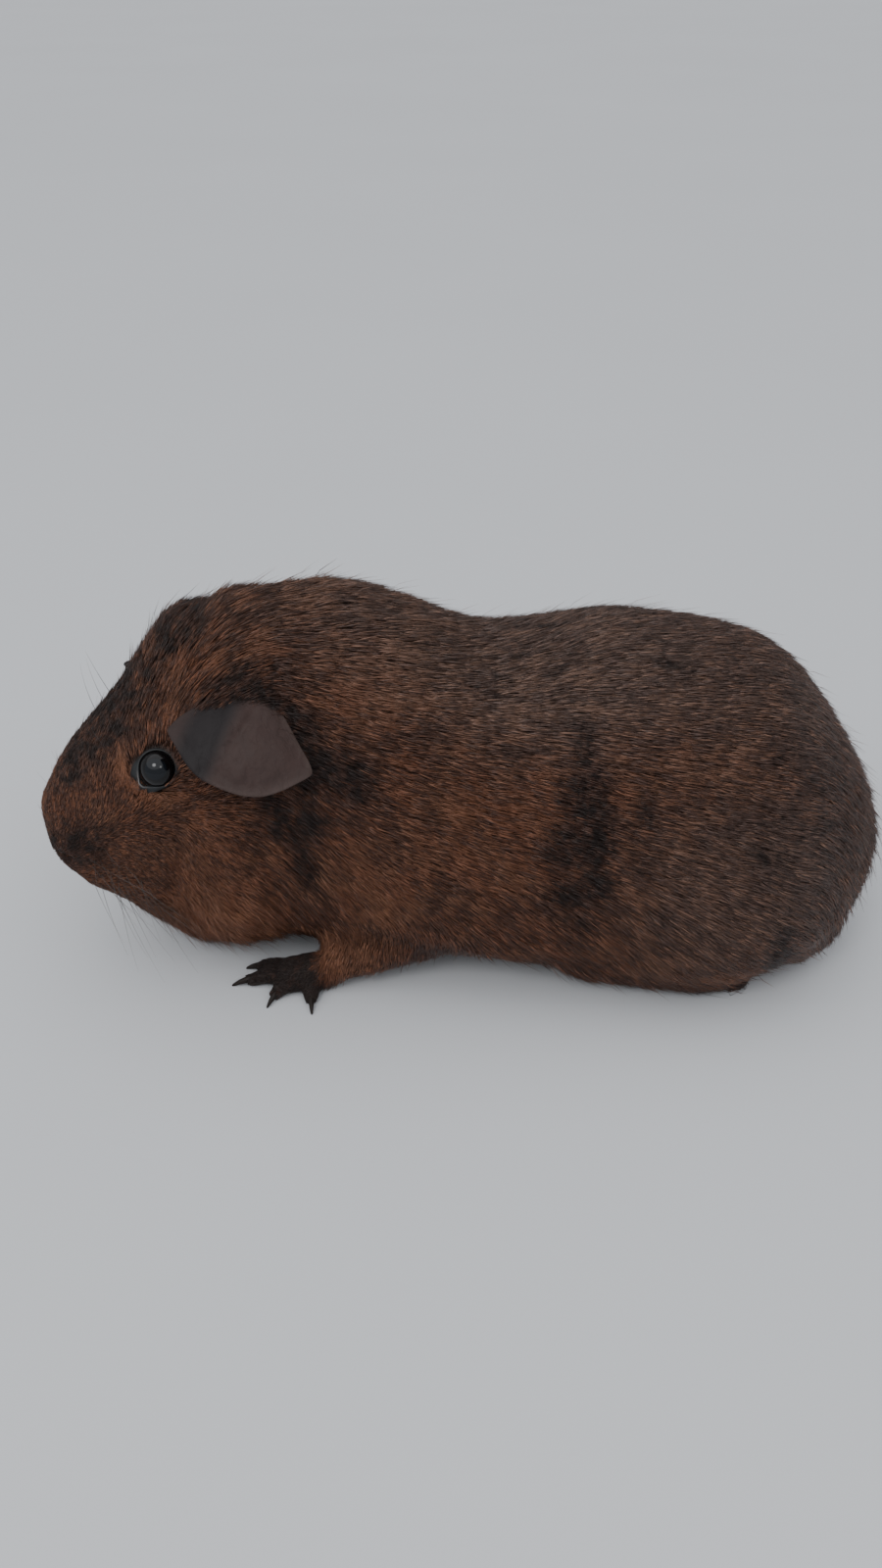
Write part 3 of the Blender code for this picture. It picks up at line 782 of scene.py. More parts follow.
RUST_AND_PAINTED_SHADE_ON_BODY = (  # mm in the frame
    ((-47, 34, 51), (6, 14, 20), -0.46),  # three dark marks along the crease of the neck and shoulder: dark hair with painted shade in the crease
    ((-33, 34, 69), (7, 12, 8), -0.44),
    ((-27, 38, 48), (6, 12, 7), -0.26),
    ((-28, 38, 36), (18, 20, 22), 0.42),  # shoulder
    ((-35, 33, 15), (18, 16, 14), 0.75),  # forearm
    ((-4, 42, 62), (26, 22, 26), 0.13),  # ribs
    ((24, 42, 62), (11, 26, 38), -0.62),  # dark band down the flank
    ((20, 45, 50), (5, 8, 5), 0.42),  # rust spot in the band
    ((19, 4, 95), (34, 26, 12), -0.14),  # dip of the back
    ((60, 20, 92), (40, 34, 18), -0.10),  # top of the rump
    ((88, 34, 62), (34, 30, 34), -0.18),  # rear of the haunch
    ((42, 47, 22), (22, 10, 12), 0.20),  # lower flank
    ((66, 47, 15), (16, 10, 8), 0.60),  # over the hind foot
    ((95, 43, 20), (11, 14, 10), 0.34),  # lobe behind the hind foot
    ((79, 46, 23), (4, 8, 15), -0.95),  # fold in front of the lobe: painted shade in the fold
    ((-28, 20, 92), (26, 24, 14), 0.24),  # nape
    ((64, 46, 2), (26, 16, 6.5), -1.8))  # lower edge of the flank at the hind foot
# Greyer hair by place: partly its own cooler tone, partly painted sheen of the sky's light.
GREY_AND_PAINTED_SHEEN_ON_BODY = (
    ((66, 45, 45), (46, 24, 44), 0.75),  # haunch
    ((100, 20, 50), (40, 44, 60), 0.60),  # rear
    ((19, 10, 90), (50, 40, 30), 0.30))  # dip of the back


def one_side(places):
    """The places with those on the left mirrored to the right."""
    return np.column_stack([places[:, 0], np.abs(places[:, 1]), places[:, 2]])


def add_patches(share, places, patches):
    """Adds each patch to share, in place."""
    for centre, size, amount in patches:
        share += amount * blob(places, centre, size)


def rust_and_painted_shade_share(points):
    """How much of the coat is ticked with rust, by place, lowered by painted shade round the ears and in a
    few folds: both sides alike.
    """
    head, body = one_side(in_head(points)), one_side(points / MM)
    share = np.full(len(points), 0.45)
    add_patches(share, head, RUST_AND_PAINTED_SHADE_ON_HEAD)
    add_patches(share, body, RUST_AND_PAINTED_SHADE_ON_BODY)
    calm = (1 - 0.7 * ramp(head[:, 0], 62, 30)) * (1 - 0.6 * ramp(body[:, 0], 35, 65))
    spots = 0.22 * waves(points, 8 * MM, 4) * calm
    return np.clip(share + 0.06 * waves(points, 20 * MM, 3) + spots, 0.02, 1.15)


def grey_and_painted_sheen_share(points, normals):
    """Greyer hair by place, most along the back and over the haunches: partly the hair's own cooler tone,
    partly painted sheen where the sky's light falls on hair that faces up.
    """
    body = one_side(points / MM)
    # painted sheen: greyer where the hair faces up to the sky
    share = 0.75 * ramp(normals[:, 2], 0.25, 0.85) * ramp(body[:, 2], 55, 85) * ramp(body[:, 0], -80, -30)
    add_patches(share, body, GREY_AND_PAINTED_SHEEN_ON_BODY)
    return np.clip(share, 0, 1)


def lie_of_coat(points, normals, parts):
    """The way the hair lies at each point of the skin."""
    head = in_head(points)
    side = np.sign(head[:, 1])[:, None]
    back, right, up = HEAD_TURN
    above = ramp(head[:, 2], 0, 16)[:, None]
    below = (ramp(head[:, 2], 13, -12) * ramp(head[:, 0], 6, 26))[:, None]
    on_head = back + up * (above * (1.0 - 1.25 * ramp(head[:, 0], 26, 78)[:, None]) - 1.7 * below)
    on_head += right * side * 0.25 * below
    x, z = points[:, 0] / MM, points[:, 2] / MM
    low = ramp(z, 62, 18)
    fall = 0.22 + 0.50 * low + 2.6 * ramp(x, 82, 118) + 0.35 * ramp(x, -20, -50) * ramp(z, 100, 60)
    fall = fall * (1 - 0.75 * ramp(normals[:, 2], 0.55, 0.95) * (1 - ramp(x, 84, 112)))
    on_body = np.column_stack([np.ones(len(x)), np.zeros(len(x)), -fall])
    on_foreleg = np.tile([-0.2, 0.0, -1.0], (len(x), 1))
    fan = np.column_stack([x + 36, points[:, 1] / MM - 28 * np.sign(points[:, 1]), np.full(len(x), -2.0)])
    on_forefoot = unit(fan)
    on_hindfoot = np.tile([-1.0, 0.0, 0.0], (len(x), 1))
    on_forelimb = parts["foreleg"] * ramp(z, 34, 20)
    way = (parts["head"][:, None] * unit(on_head) + (parts["neck"] + parts["trunk"])[:, None] * unit(on_body)
           + on_forelimb[:, None] * unit(on_foreleg)
           + (parts["foreleg"] - on_forelimb)[:, None] * unit(on_body)
           + parts["hindleg"][:, None] * unit(on_body) + parts["forefoot"][:, None] * on_forefoot
           + parts["hindfoot"][:, None] * on_hindfoot)
    for name in SIDES:  # the hair parts round each eye
        away = points - np.array(EYE_CENTRES[name])
        near = 1 - ramp(np.linalg.norm(away, axis=1) / MM, 5.5, 12)
        way += unit(away) * (near * 1.3)[:, None]
    return way


class GUINEAPIG_OT_skin(Operator):
    """Fuse the flesh solids into one skin that lies below the coat, with lids, nostrils and mouth"""

    bl_idname = "guineapig.skin"
    bl_label = "Skin"

    def execute(self, context):
        coat, face = context.scene.guineapig_coat, context.scene.guineapig_face
        markings = shared(coat_markings, coat)
        grain = shared(hair_grain)
        skin = build_skin(coat, face)
        pick(skin)
        bpy.ops.object.shade_smooth()
        points, normals, edges = points_of(skin), normals_of(skin), edges_of(skin)
        parts = state["parts"]
        way = lie_of_coat(points, normals, parts)
        for _ in range(3):
            way = unit(way - normals * (way * normals).sum(1, keepdims=True))
            way = spread(way, edges, 3)
        state["way"] = unit(way - normals * (way * normals).sum(1, keepdims=True))
        state["skin"] = skin
        feet = np.clip(parts["forefoot"] + parts["hindfoot"], 0, 1)
        # the rust share also carries the painted shade round the ears and in the folds
        state["rust"] = rust_and_painted_shade_share(points) * (1 - feet) - 0.12 * feet
        state["grey_and_painted_sheen"] = grey_and_painted_sheen_share(points, normals)
        set_attribute(skin, "rust", state["rust"])
        set_attribute(skin, "grey_and_painted_sheen", state["grey_and_painted_sheen"])
        to_eye = np.min([np.linalg.norm(points - np.array(c), axis=1) for c in EYE_CENTRES.values()], axis=0)
        round_eye = 1 - ramp(to_eye, EYE_SIZE * 1.12, EYE_SIZE * 1.35)
        set_attribute(skin, "bare", np.maximum.reduce([feet, near_nostril(in_head(points)), round_eye]))
        finished(skin, "coat", shared(skin_material, markings, grain), *FLESH)
        return {"FINISHED"}


# ---------------------------------------------------------------- coat

MID = 0.42  # how far along a tuft is widest
EVEN_STEPS = 0.7548776662, 0.5698402910  # each root's step onward from the last, for an even spread
STRAYS = 0.035  # share of the tufts that stand up from the rest
LOWEST = 0.15 * MM  # no hair lies lower over the floor


def tuft_sizes(points, normals, parts, coat):
    """Length, width, rise of the tip and density of the tufts at each point of the skin."""
    head = in_head(points)
    x, z = points[:, 0] / MM, points[:, 2] / MM
    rearward = ramp(head[:, 0], 4, 62)
    crown = parts["head"] * ramp(head[:, 2], 22, 38) * ramp(head[:, 0], 22, 50)
    face_length = coat.face_length * (1 - rearward) + coat.body_length * 0.82 * rearward
    feet = parts["forefoot"] + parts["hindfoot"]
    trunk = np.clip(parts["neck"] + parts["trunk"] + parts["hindleg"], 0, 1)
    length = (parts["head"] * face_length + trunk * coat.body_length
              + parts["foreleg"] * (coat.body_length * 0.72) + feet * coat.face_length * 1.15)
    width = coat.width * (parts["head"] * (0.62 + 0.30 * rearward) + trunk + parts["foreleg"] * 0.85
                          + feet * 0.6)
    rise = (parts["head"] * (coat.face_depth * 0.62 * (1 - rearward) + coat.body_depth * 0.95 * rearward)
            + trunk * coat.body_depth + parts["foreleg"] * coat.body_depth * 0.75 + feet * 0.35 * MM)
    nape = ramp(x, -60, -36) * ramp(x, -4, -24) * ramp(z, 88, 102)
    rump = ramp(x, 84, 108) * ramp(z, 12, 40)
    fringe = parts["head"] * ramp(head[:, 2], -14, -26) * ramp(head[:, 0], 6, 18)
    rise = rise * (1 + 0.55 * crown + 0.6 * nape + 0.5 * rump + 0.3 * fringe) + 2.3 * MM * fringe
    length = length + 3.0 * MM * fringe
    density = (parts["head"] * (9.0 - 4.4 * rearward) + trunk * 3.3 + parts["foreleg"] * 3.6 + feet * 8.0)
    under = ramp(normals[:, 2], -0.55, -0.9) * ramp(z, 22, 12)
    density = density * (1 - 0.45 * under * trunk)
    return length, width, rise, density


def hairless(points, normals, parts, face):
    """True where no hair grows: between the lids, in the nostrils and on the soles."""
    head = in_head(points)
    bare = np.zeros(len(points), bool)
    for side in SIDES:
        gaze, back, up = eye_frame(side)
        away = points - np.array(EYE_CENTRES[side])
        a, b = away @ back, away @ up
        slate = face.rim_thickness * (0.1 + 2.7 * np.maximum(np.cos(np.arctan2(b, a) - SLATE_SIDE), 0) ** 3)
        opening = lid_outline(np.arctan2(b, a), face.lid_opening) + slate
        bare |= (away @ gaze > 0) & (away @ gaze < EYE_SIZE * 1.5) & (np.hypot(a, b) < opening)
        bare |= np.linalg.norm(away, axis=1) < EYE_SIZE * 0.9
    for side in (-1, 1):
        local = head * (1, side, 1)
        bare |= from_nostril(local, (2.6, 2.1, 1.4)) < 1
    feet = (parts["forefoot"] + parts["hindfoot"]) > 0.5
    bare |= feet & ((points[:, 2] < 2.2 * MM) | (normals[:, 2] < -0.2))
    bare |= points[:, 2] < 0.8 * MM
    return bare


def grow_tufts(coat, face):
    skin, way_at, parts = state["skin"], state["way"], state["parts"]
    points, normals, triangles = points_of(skin), normals_of(skin), triangles_of(skin)
    length, width, rise, density = tuft_sizes(points, normals, parts, coat)
    rng = np.random.default_rng(coat.seed)
    a, b, c = (points[triangles[:, k]] for k in range(3))
    area = np.linalg.norm(np.cross(b - a, c - a), axis=1) / 2 / MM ** 2
    bare = hairless(points, normals, parts, face)[triangles].all(1)
    wanted = np.where(bare, 0, density[triangles].mean(1)) * area
    wanted *= coat.tufts / wanted.sum()
    count = np.floor(wanted + rng.random(len(wanted))).astype(int)
    home = np.repeat(np.arange(len(triangles)), count)
    number = np.arange(len(home))
    u, v = ((0.5 + number * step) % 1 for step in EVEN_STEPS)
    over = u + v > 1
    u[over], v[over] = 1 - u[over], 1 - v[over]
    corner = triangles[home]
    share = np.column_stack([1 - u - v, u, v])

    def at_root(values):
        values = np.asarray(values)
        return (values[corner] * (share if values.ndim == 1 else share[:, :, None])).sum(1)

    kept = ~hairless(at_root(points), unit(at_root(normals)), {p: at_root(w) for p, w in parts.items()}, face)
    corner, share = corner[kept], share[kept]
    root, normal, way = at_root(points), unit(at_root(normals)), at_root(way_at)
    n = len(root)
    # locks: neighbouring tufts lean together, and each tuft a little on its own
    across = unit(np.cross(normal, way))
    lean = 0.08 * waves(root, 9 * MM, 11) + 0.06 * waves(root, 3 * MM, 12) + rng.normal(0, 0.085, n)
    way = unit(way + across * lean[:, None])
    size = np.exp(rng.normal(0, 0.16, n))
    long, wide = at_root(length) * size, at_root(width) * np.exp(rng.normal(0, 0.18, n))
    lift = at_root(rise) * (0.72 + 0.28 * waves(root, 5 * MM, 13) + rng.normal(0, 0.22, n))
    stray = rng.random(n) < STRAYS
    lift = np.where(stray, lift * rng.uniform(1.4, 2.4, n), np.clip(lift, 0.12 * MM, None))
    long = np.where(stray, long * 1.18, long)
    wide = np.where(stray, wide * 0.62, wide)
    surface = BVHTree.FromPolygons(points.tolist(), triangles.tolist())

    def onto(places):
        found = [surface.find_nearest(p) for p in places.tolist()]
        return np.array([f[0] for f in found]), np.array([f[1] for f in found])

    mid_foot, mid_normal = onto(root + way * (long * MID)[:, None])
    mid_normal = unit(mid_normal * 0.4 + normal * 0.6)
    onward = unit(way - mid_normal * (way * mid_normal).sum(1, keepdims=True))
    tip_foot, tip_normal = onto(mid_foot + onward * (long * (1 - MID))[:, None])
    tip_normal = unit(tip_normal * 0.5 + mid_normal * 0.5)
    middle_point = mid_foot + mid_normal * (lift * 0.55)[:, None]
    tip = tip_foot + tip_normal * lift[:, None]
    roll = rng.normal(0, 0.35, n)[:, None]
    aside = unit(np.cross(mid_normal, onward))
    beside = aside * np.cos(roll) + mid_normal * np.sin(roll)
    over_it = mid_normal * np.cos(roll) - aside * np.sin(roll)
    half = (wide / 2)[:, None]
    verts = np.stack([root - normal * 0.15 * MM, middle_point + beside * half, middle_point - beside * half,
                      middle_point + over_it * half * 0.6, tip], axis=1)
    verts[:, :, 2] = np.maximum(verts[:, :, 2], LOWEST)
    # the few tufts that a bend or the floor turns inside out have their two sides exchanged
    p, q, r = (verts[:, FACES[:, k]] - verts[:, :1] for k in range(3))
    inside_out = (p * np.cross(q, r)).sum((1, 2)) < 0
    verts[inside_out] = verts[inside_out][:, [0, 2, 1, 3, 4]]
    tone = rng.random(n) * 0.60 + 0.62 * (0.5 + 0.5 * waves(root, 2.0 * MM, 14)) - 0.11
    look = {"tone": tone, "rust": at_root(state["rust"]), "grey_and_painted_sheen": at_root(state["grey_and_painted_sheen"])}
    region = {p: at_root(w) for p, w in parts.items()}
    return verts, look, region


def unwrap(roots, name):
    """The root's place on an unwrap of the skin: the head opened out flat on each side, the rest unrolled."""
    if name.startswith("coat_head"):
        centre = in_head(roots) - np.array((44, 0, -6))
        way = unit(centre)
        out = np.clip(np.abs(way[:, 1]), 0, 1)
        angle = np.arccos(out)
        turn = np.arctan2(way[:, 2], way[:, 0])
        flat = np.column_stack([angle * np.cos(turn), angle * np.sin(turn)])
    else:
        x, y, z = (roots / MM).T
        axis_low, axis_high, level = -60.0, 80.0, 50.0
        along = np.clip(x, axis_low, axis_high)
        away = np.column_stack([x - along, y, z - level])
        reach = np.linalg.norm(away, axis=1)
        bend = np.arcsin(np.clip(away[:, 0] / np.maximum(reach, 1e-6), -1, 1))
        flat = np.column_stack([along + bend * 40, np.arctan2(np.abs(y), z - level) * 40])
    low, high = flat.min(0), flat.max(0)
    return 0.01 + 0.98 * (flat - low) / np.maximum(high - low, 1e-9)


FACES = np.array([(0, 3, 1), (0, 2, 3), (0, 1, 2), (1, 3, 4), (3, 2, 4), (2, 1, 4)])
# where each corner of each face lies in its tuft's patch: three strips side by side, root at the bottom
STRIPS = np.array([[(0.17, 0), (0.33, 0.42), (0, 0.42)], [(0.5, 0), (0.67, 0.42), (0.33, 0.42)],
                   [(0.83, 0), (1.0, 0.42), (0.67, 0.42)], [(0, 0.42), (0.33, 0.42), (0.17, 1)],
                   [(0.33, 0.42), (0.67, 0.42), (0.5, 1)], [(0.67, 0.42), (1.0, 0.42), (0.83, 1)]])
PATCH = 0.003
MOST_TUFTS = 33000


def coat_pieces(verts, region):
    """The name of each coat piece and the tufts in it, each piece small enough to handle."""
    root = verts[:, 0]
    head_side = in_head(root)[:, 1] > 0
    on_head = region["head"] > 0.5
    on_limb = (region["foreleg"] + region["forefoot"] + region["hindfoot"]) > 0.5
    groups = {"coat_head_left": on_head & ~head_side, "coat_head_right": on_head & head_side,
              "coat_limbs": on_limb & ~on_head,
              "coat_body_left": ~on_head & ~on_limb & (root[:, 1] <= 0),
              "coat_body_right": ~on_head & ~on_limb & (root[:, 1] > 0)}
    for name, chosen in groups.items():
        members = np.flatnonzero(chosen)
        parts = math.ceil(len(members) / MOST_TUFTS)
        if parts < 2:
            yield name, members
            continue
        members = members[np.argsort(root[members, 0], kind="stable")]
        for index, some in enumerate(np.array_split(members, parts)):
            yield f"{name}_{index + 1}", some


class GUINEAPIG_OT_coat(Operator):
    """Lay the solid tufts of the coat over the skin, along the lie of the hair"""

    bl_idname = "guineapig.coat"
    bl_label = "Coat"

    def execute(self, context):
        coat, face = context.scene.guineapig_coat, context.scene.guineapig_face
        if "skin" not in state:
            raise RuntimeError("the coat lies on the skin, so the skin is built first")
        markings = shared(coat_markings, coat)
        material = shared(coat_material, markings)
        verts, look, region = grow_tufts(coat, face)
        for name, members in coat_pieces(verts, region):
            some = verts[members]
            faces = (np.arange(len(some)) * 5)[:, None, None] + FACES[None]
            piece = new_mesh(name, some.reshape(-1, 3), faces.reshape(-1, 3))
            set_attribute(piece, "along", np.tile([0.0, MID, MID, MID, 1.0], len(some)))
            for label, values in look.items():
                set_attribute(piece, label, np.repeat(values[members], 5))
            at = unwrap(some[:, 0], name)
            corners = at[:, None, None, :] + (STRIPS[None] - 0.5) * PATCH
            layer = piece.data.uv_layers.new(name="OFBake")
            layer.uv.foreach_set("vector", corners.astype(np.float32).ravel())
            finished(piece, "coat", material)
        return {"FINISHED"}


# ---------------------------------------------------------------- ears


EAR_TIP, EAR_CORNER = 19.5, 19  # reach of the rear tip and of the front corner from the leaf's middle, mm
EAR_CORNER_AT = 190  # degrees round the leaf from its rear tip, over the root
# The two edges between them: degrees round the leaf, and reach
ROOT_EDGE = ((0, EAR_TIP), (20, 15), (50, 13), (100, 15), (150, 15), (EAR_CORNER_AT, EAR_CORNER))
FREE_EDGE = ((EAR_CORNER_AT, EAR_CORNER), (205, 16), (230, 14), (270, 12.5), (315, 14.5), (345, 17),
             (360, EAR_TIP))
EAR_DOME = 2.4
EAR_RIM, EAR_ROOT = 0.42, 1.15  # thickness, mm


class GUINEAPIG_OT_ears(Operator):
    """Shape the two bare ear leaves with their domed middle, front fold and thin rim"""

    bl_idname = "guineapig.ears"
    bl_label = "Ears"

    def execute(self, context):
        face = context.scene.guineapig_face
        for side in SIDES:
            ear = self.leaf(side)
            finished(ear, "ear_skin", shared(ear_material, face), "ear_" + side)
        return {"FINISHED"}

    def leaf(self, side):
        solid = copy_of("ear_" + side, "ear_guide")
        points = points_of(solid)
        centre = points.mean(0)
        axes = np.linalg.svd(points - centre, full_matrices=False)[2]
        bpy.data.objects.remove(solid)
        along = axes[0] * np.sign(axes[0] @ np.array(HEAD_BACK))
        across = axes[1] * np.sign(axes[1] @ np.array(HEAD_UP))
        outer = np.array(TO_RIGHT) * SIDES[side] + np.array(HEAD_UP)
        over = axes[2] * np.sign(axes[2] @ outer)
        turns, rings = 144, 22
        angle = np.arange(turns) * 2 * math.pi / turns
        degrees = np.degrees(angle)
        reach = np.where(degrees < EAR_CORNER_AT, line(ROOT_EDGE, degrees), line(FREE_EDGE, degrees))
        soft = (np.roll(reach, 1) + reach * 2 + np.roll(reach, -1)) / 4
        share = np.sin(np.linspace(0, 1, rings) * math.pi / 2)[1:]
        a = np.concatenate([[0], (share[:, None] * (soft * np.cos(angle))).ravel()])
        b = np.concatenate([[0], (share[:, None] * (soft * np.sin(angle))).ravel()])
        rho = np.concatenate([[0], np.repeat(share, turns)])
        lift = EAR_DOME * (0.5 - rho ** 2)
        lift -= 1.5 * ramp(a, -6, -17) + 0.6 * np.exp(-((a + 7.5 + 0.12 * b) / 1.6) ** 2)
        lift -= 0.55 * np.exp(-((a + 1.5 - 0.15 * b) / 1.1) ** 2) * ramp(b, -6, 0) * ramp(b, 12, 6)
        lift -= 0.2 * ramp(b, 10, 15)
        lift += 0.7 * ramp(rho, 0.8, 1) * ramp(b, 0, -8)
        spot = np.column_stack([a, b, rho])
        lift += 0.22 * waves(spot, 8, 31) * (1 - rho ** 4) + 0.10 * waves(spot, 3.2, 32)
        thick = (EAR_RIM + (EAR_ROOT - EAR_RIM) * (1 - ramp(rho, 0.15, 0.98))) / 2
        thick *= np.sqrt(1 - 0.999 * rho ** 24)  # both faces meet in a rounded rim
        sheet = centre + (along * a[:, None] + across * b[:, None] + over * lift[:, None]) * MM
        shift = over * (thick * MM)[:, None]
        count = len(sheet)
        verts = np.concatenate([sheet + shift, sheet - shift])
        faces = []
        for k in range(turns):
            faces.append((0, 1 + k, 1 + (k + 1) % turns))
            for ring in range(rings - 2):
                p, q = 1 + ring * turns + k, 1 + ring * turns + (k + 1) % turns
                faces += [(p, p + turns, q + turns), (p, q + turns, q)]
        faces += [(i + count, k + count, j + count) for i, j, k in faces]
        for k in range(turns):
            p, q = 1 + (rings - 2) * turns + k, 1 + (rings - 2) * turns + (k + 1) % turns
            faces += [(p, p + count, q + count), (p, q + count, q)]
        ear = new_mesh("ear_leaf_" + side, verts, np.array(faces))
        set_attribute(ear, "from_front", np.tile((a + 17) / 36, 2))
        set_attribute(ear, "rim", np.tile(ramp(rho, 0.86, 1.0) * ramp(a, -10, 6), 2))
        outward_faces(ear)
        return ear


# ---------------------------------------------------------------- eyes and lids


class GUINEAPIG_OT_eyes(Operator):
    """Make the two eyes with their raised clear fronts, and the bare rims of the lids"""

    bl_idname = "guineapig.eyes"
    bl_label = "Eyes and lids"

    def execute(self, context):
        face = context.scene.guineapig_face
        for side in SIDES:
            self.eye(side, shared(eye_material, face))
            self.lid_rim(side, face, shared(lid_material))
        return {"FINISHED"}

    def eye(self, side, material):
        gaze, _, _ = eye_frame(side)
        eye = ball(EYE_CENTRES[side], EYE_SIZE, "eyeball_" + side, 64, 48)
        points = points_of(eye)
        centre = np.array(EYE_CENTRES[side])
        toward = unit(points - centre) @ gaze
        raised = ramp(toward, 0.55, 1.0) * 0.35 * MM
        move_points(eye, points + unit(points - centre) * raised[:, None])
        set_attribute(eye, "gaze", toward)
        pick(eye)
        bpy.ops.object.shade_smooth()
        finished(eye, "eye", material, "eye_" + side)

    def lid_rim(self, side, face, material):
        """A soft roll of bare skin along the edge of the lids, thicker at the front corner."""
        gaze, back, up = eye_frame(side)
        centre = np.array(EYE_CENTRES[side])
        steps, ring = 96, 16
        points, inner, corner, slate = [], [], [], []
        for i in range(steps):
            angle = 2 * math.pi * i / steps
            front = max(math.cos(angle - FRONT_CORNER), 0) ** 24
            opening = float(lid_outline(np.array([angle]), face.lid_opening)[0]) + 0.15 * MM
            tilt = math.asin(min(opening / EYE_SIZE, 0.97))
            beyond = max(opening - EYE_SIZE * 0.97, 0)
            flat = back * math.cos(angle) + up * math.sin(angle)
            outward = gaze * math.cos(tilt) + flat * math.sin(tilt)
            beside = flat * math.cos(tilt) - gaze * math.sin(tilt)
            wide = max(math.cos(angle - SLATE_SIDE), 0) ** 3
            # pale: where the painted highlight along the inner edge is strongest
            pale = max(math.cos(angle - SLATE_SIDE), 0) ** 14
            thick = face.rim_thickness / 2 * (0.66 + 0.45 * wide)
            down = flat * 0.72 - gaze * 0.69
            middle_of_roll = centre + outward * (EYE_SIZE + 0.22 * MM) + beside * thick * 0.3 + flat * beyond
            for j in range(ring):
                turn = 2 * math.pi * j / ring
                points.append(middle_of_roll + beside * math.cos(turn) * thick * 1.25
                              + outward * math.sin(turn) * thick * 0.85 / (1 + 0.5 * wide)
                              + down * max(math.cos(turn), 0) * 3.8 * MM * wide)
                slate.append(wide)
                inner.append(max(-math.cos(turn), 0))
                # corner: painted highlight, a pale line along the inner edge of the roll near the front
                # corner
                corner.append(max(0.7 * front, pale) * max(-math.cos(turn + 0.75), 0) ** 6)
        faces = []
        for i in range(steps):
            for j in range(ring):
                a, b = i * ring + j, i * ring + (j + 1) % ring
                c, d = (i + 1) % steps * ring + (j + 1) % ring, (i + 1) % steps * ring + j
                faces += [(a, b, c), (a, c, d)]
        rim = new_mesh("lid_rim_" + side, np.array(points), np.array(faces))
        set_attribute(rim, "inner", inner)
        set_attribute(rim, "corner", corner)
        set_attribute(rim, "slate", slate)
        outward_faces(rim)
        finished(rim, "eye", material)


def outward_faces(obj):
    pick(obj)
    bpy.ops.object.mode_set(mode="EDIT")
    bpy.ops.mesh.select_all(action="SELECT")
    bpy.ops.mesh.normals_make_consistent(inside=False)
    bpy.ops.object.mode_set(mode="OBJECT")


# ---------------------------------------------------------------- claws


class GUINEAPIG_OT_claws(Operator):
    """Round off the curved claws of the four feet"""

    bl_idname = "guineapig.claws"
    bl_label = "Claws"

    def execute(self, context):
        material = shared(claw_material)
        for foot in ("fore", "hind"):
            for side in SIDES:
                nodes = [n for n in sorted(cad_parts) if n.startswith(f"{foot}_claw_{side}")]
                claws = joined([copy_of(n, n + "_horn") for n in nodes], f"{foot}_claws_{side}")
                apply_modifier(claws, "REMESH", mode="VOXEL", voxel_size=0.22 * MM)
                apply_modifier(claws, "SMOOTH", factor=0.5, iterations=4)
                pick(claws)
                bpy.ops.object.shade_smooth()
                finished(claws, "claw_horn", material, *nodes)
        return {"FINISHED"}


# ---------------------------------------------------------------- whiskers


WHISKER_STEPS = 12
# The way that a fan points (back, out and up), how much each hair strays from it (back and up), and the
# lengths of its hairs against the longest
LOWER_FAN = (0.1, 0.75, -1.05), (0.35, 0.25), (0.45, 1.0)
UPPER_FAN = (0.1, 1.0, 0.2), (0.3, 0.3), (0.6, 1.05)
BROW_FAN = (0.1, 0.25, 1.0), (0.1, 0.0), (0.4, 0.55)
BROW_ROOTS = (34, 14, 27), (37, 13.5, 28), (31, 13, 25)


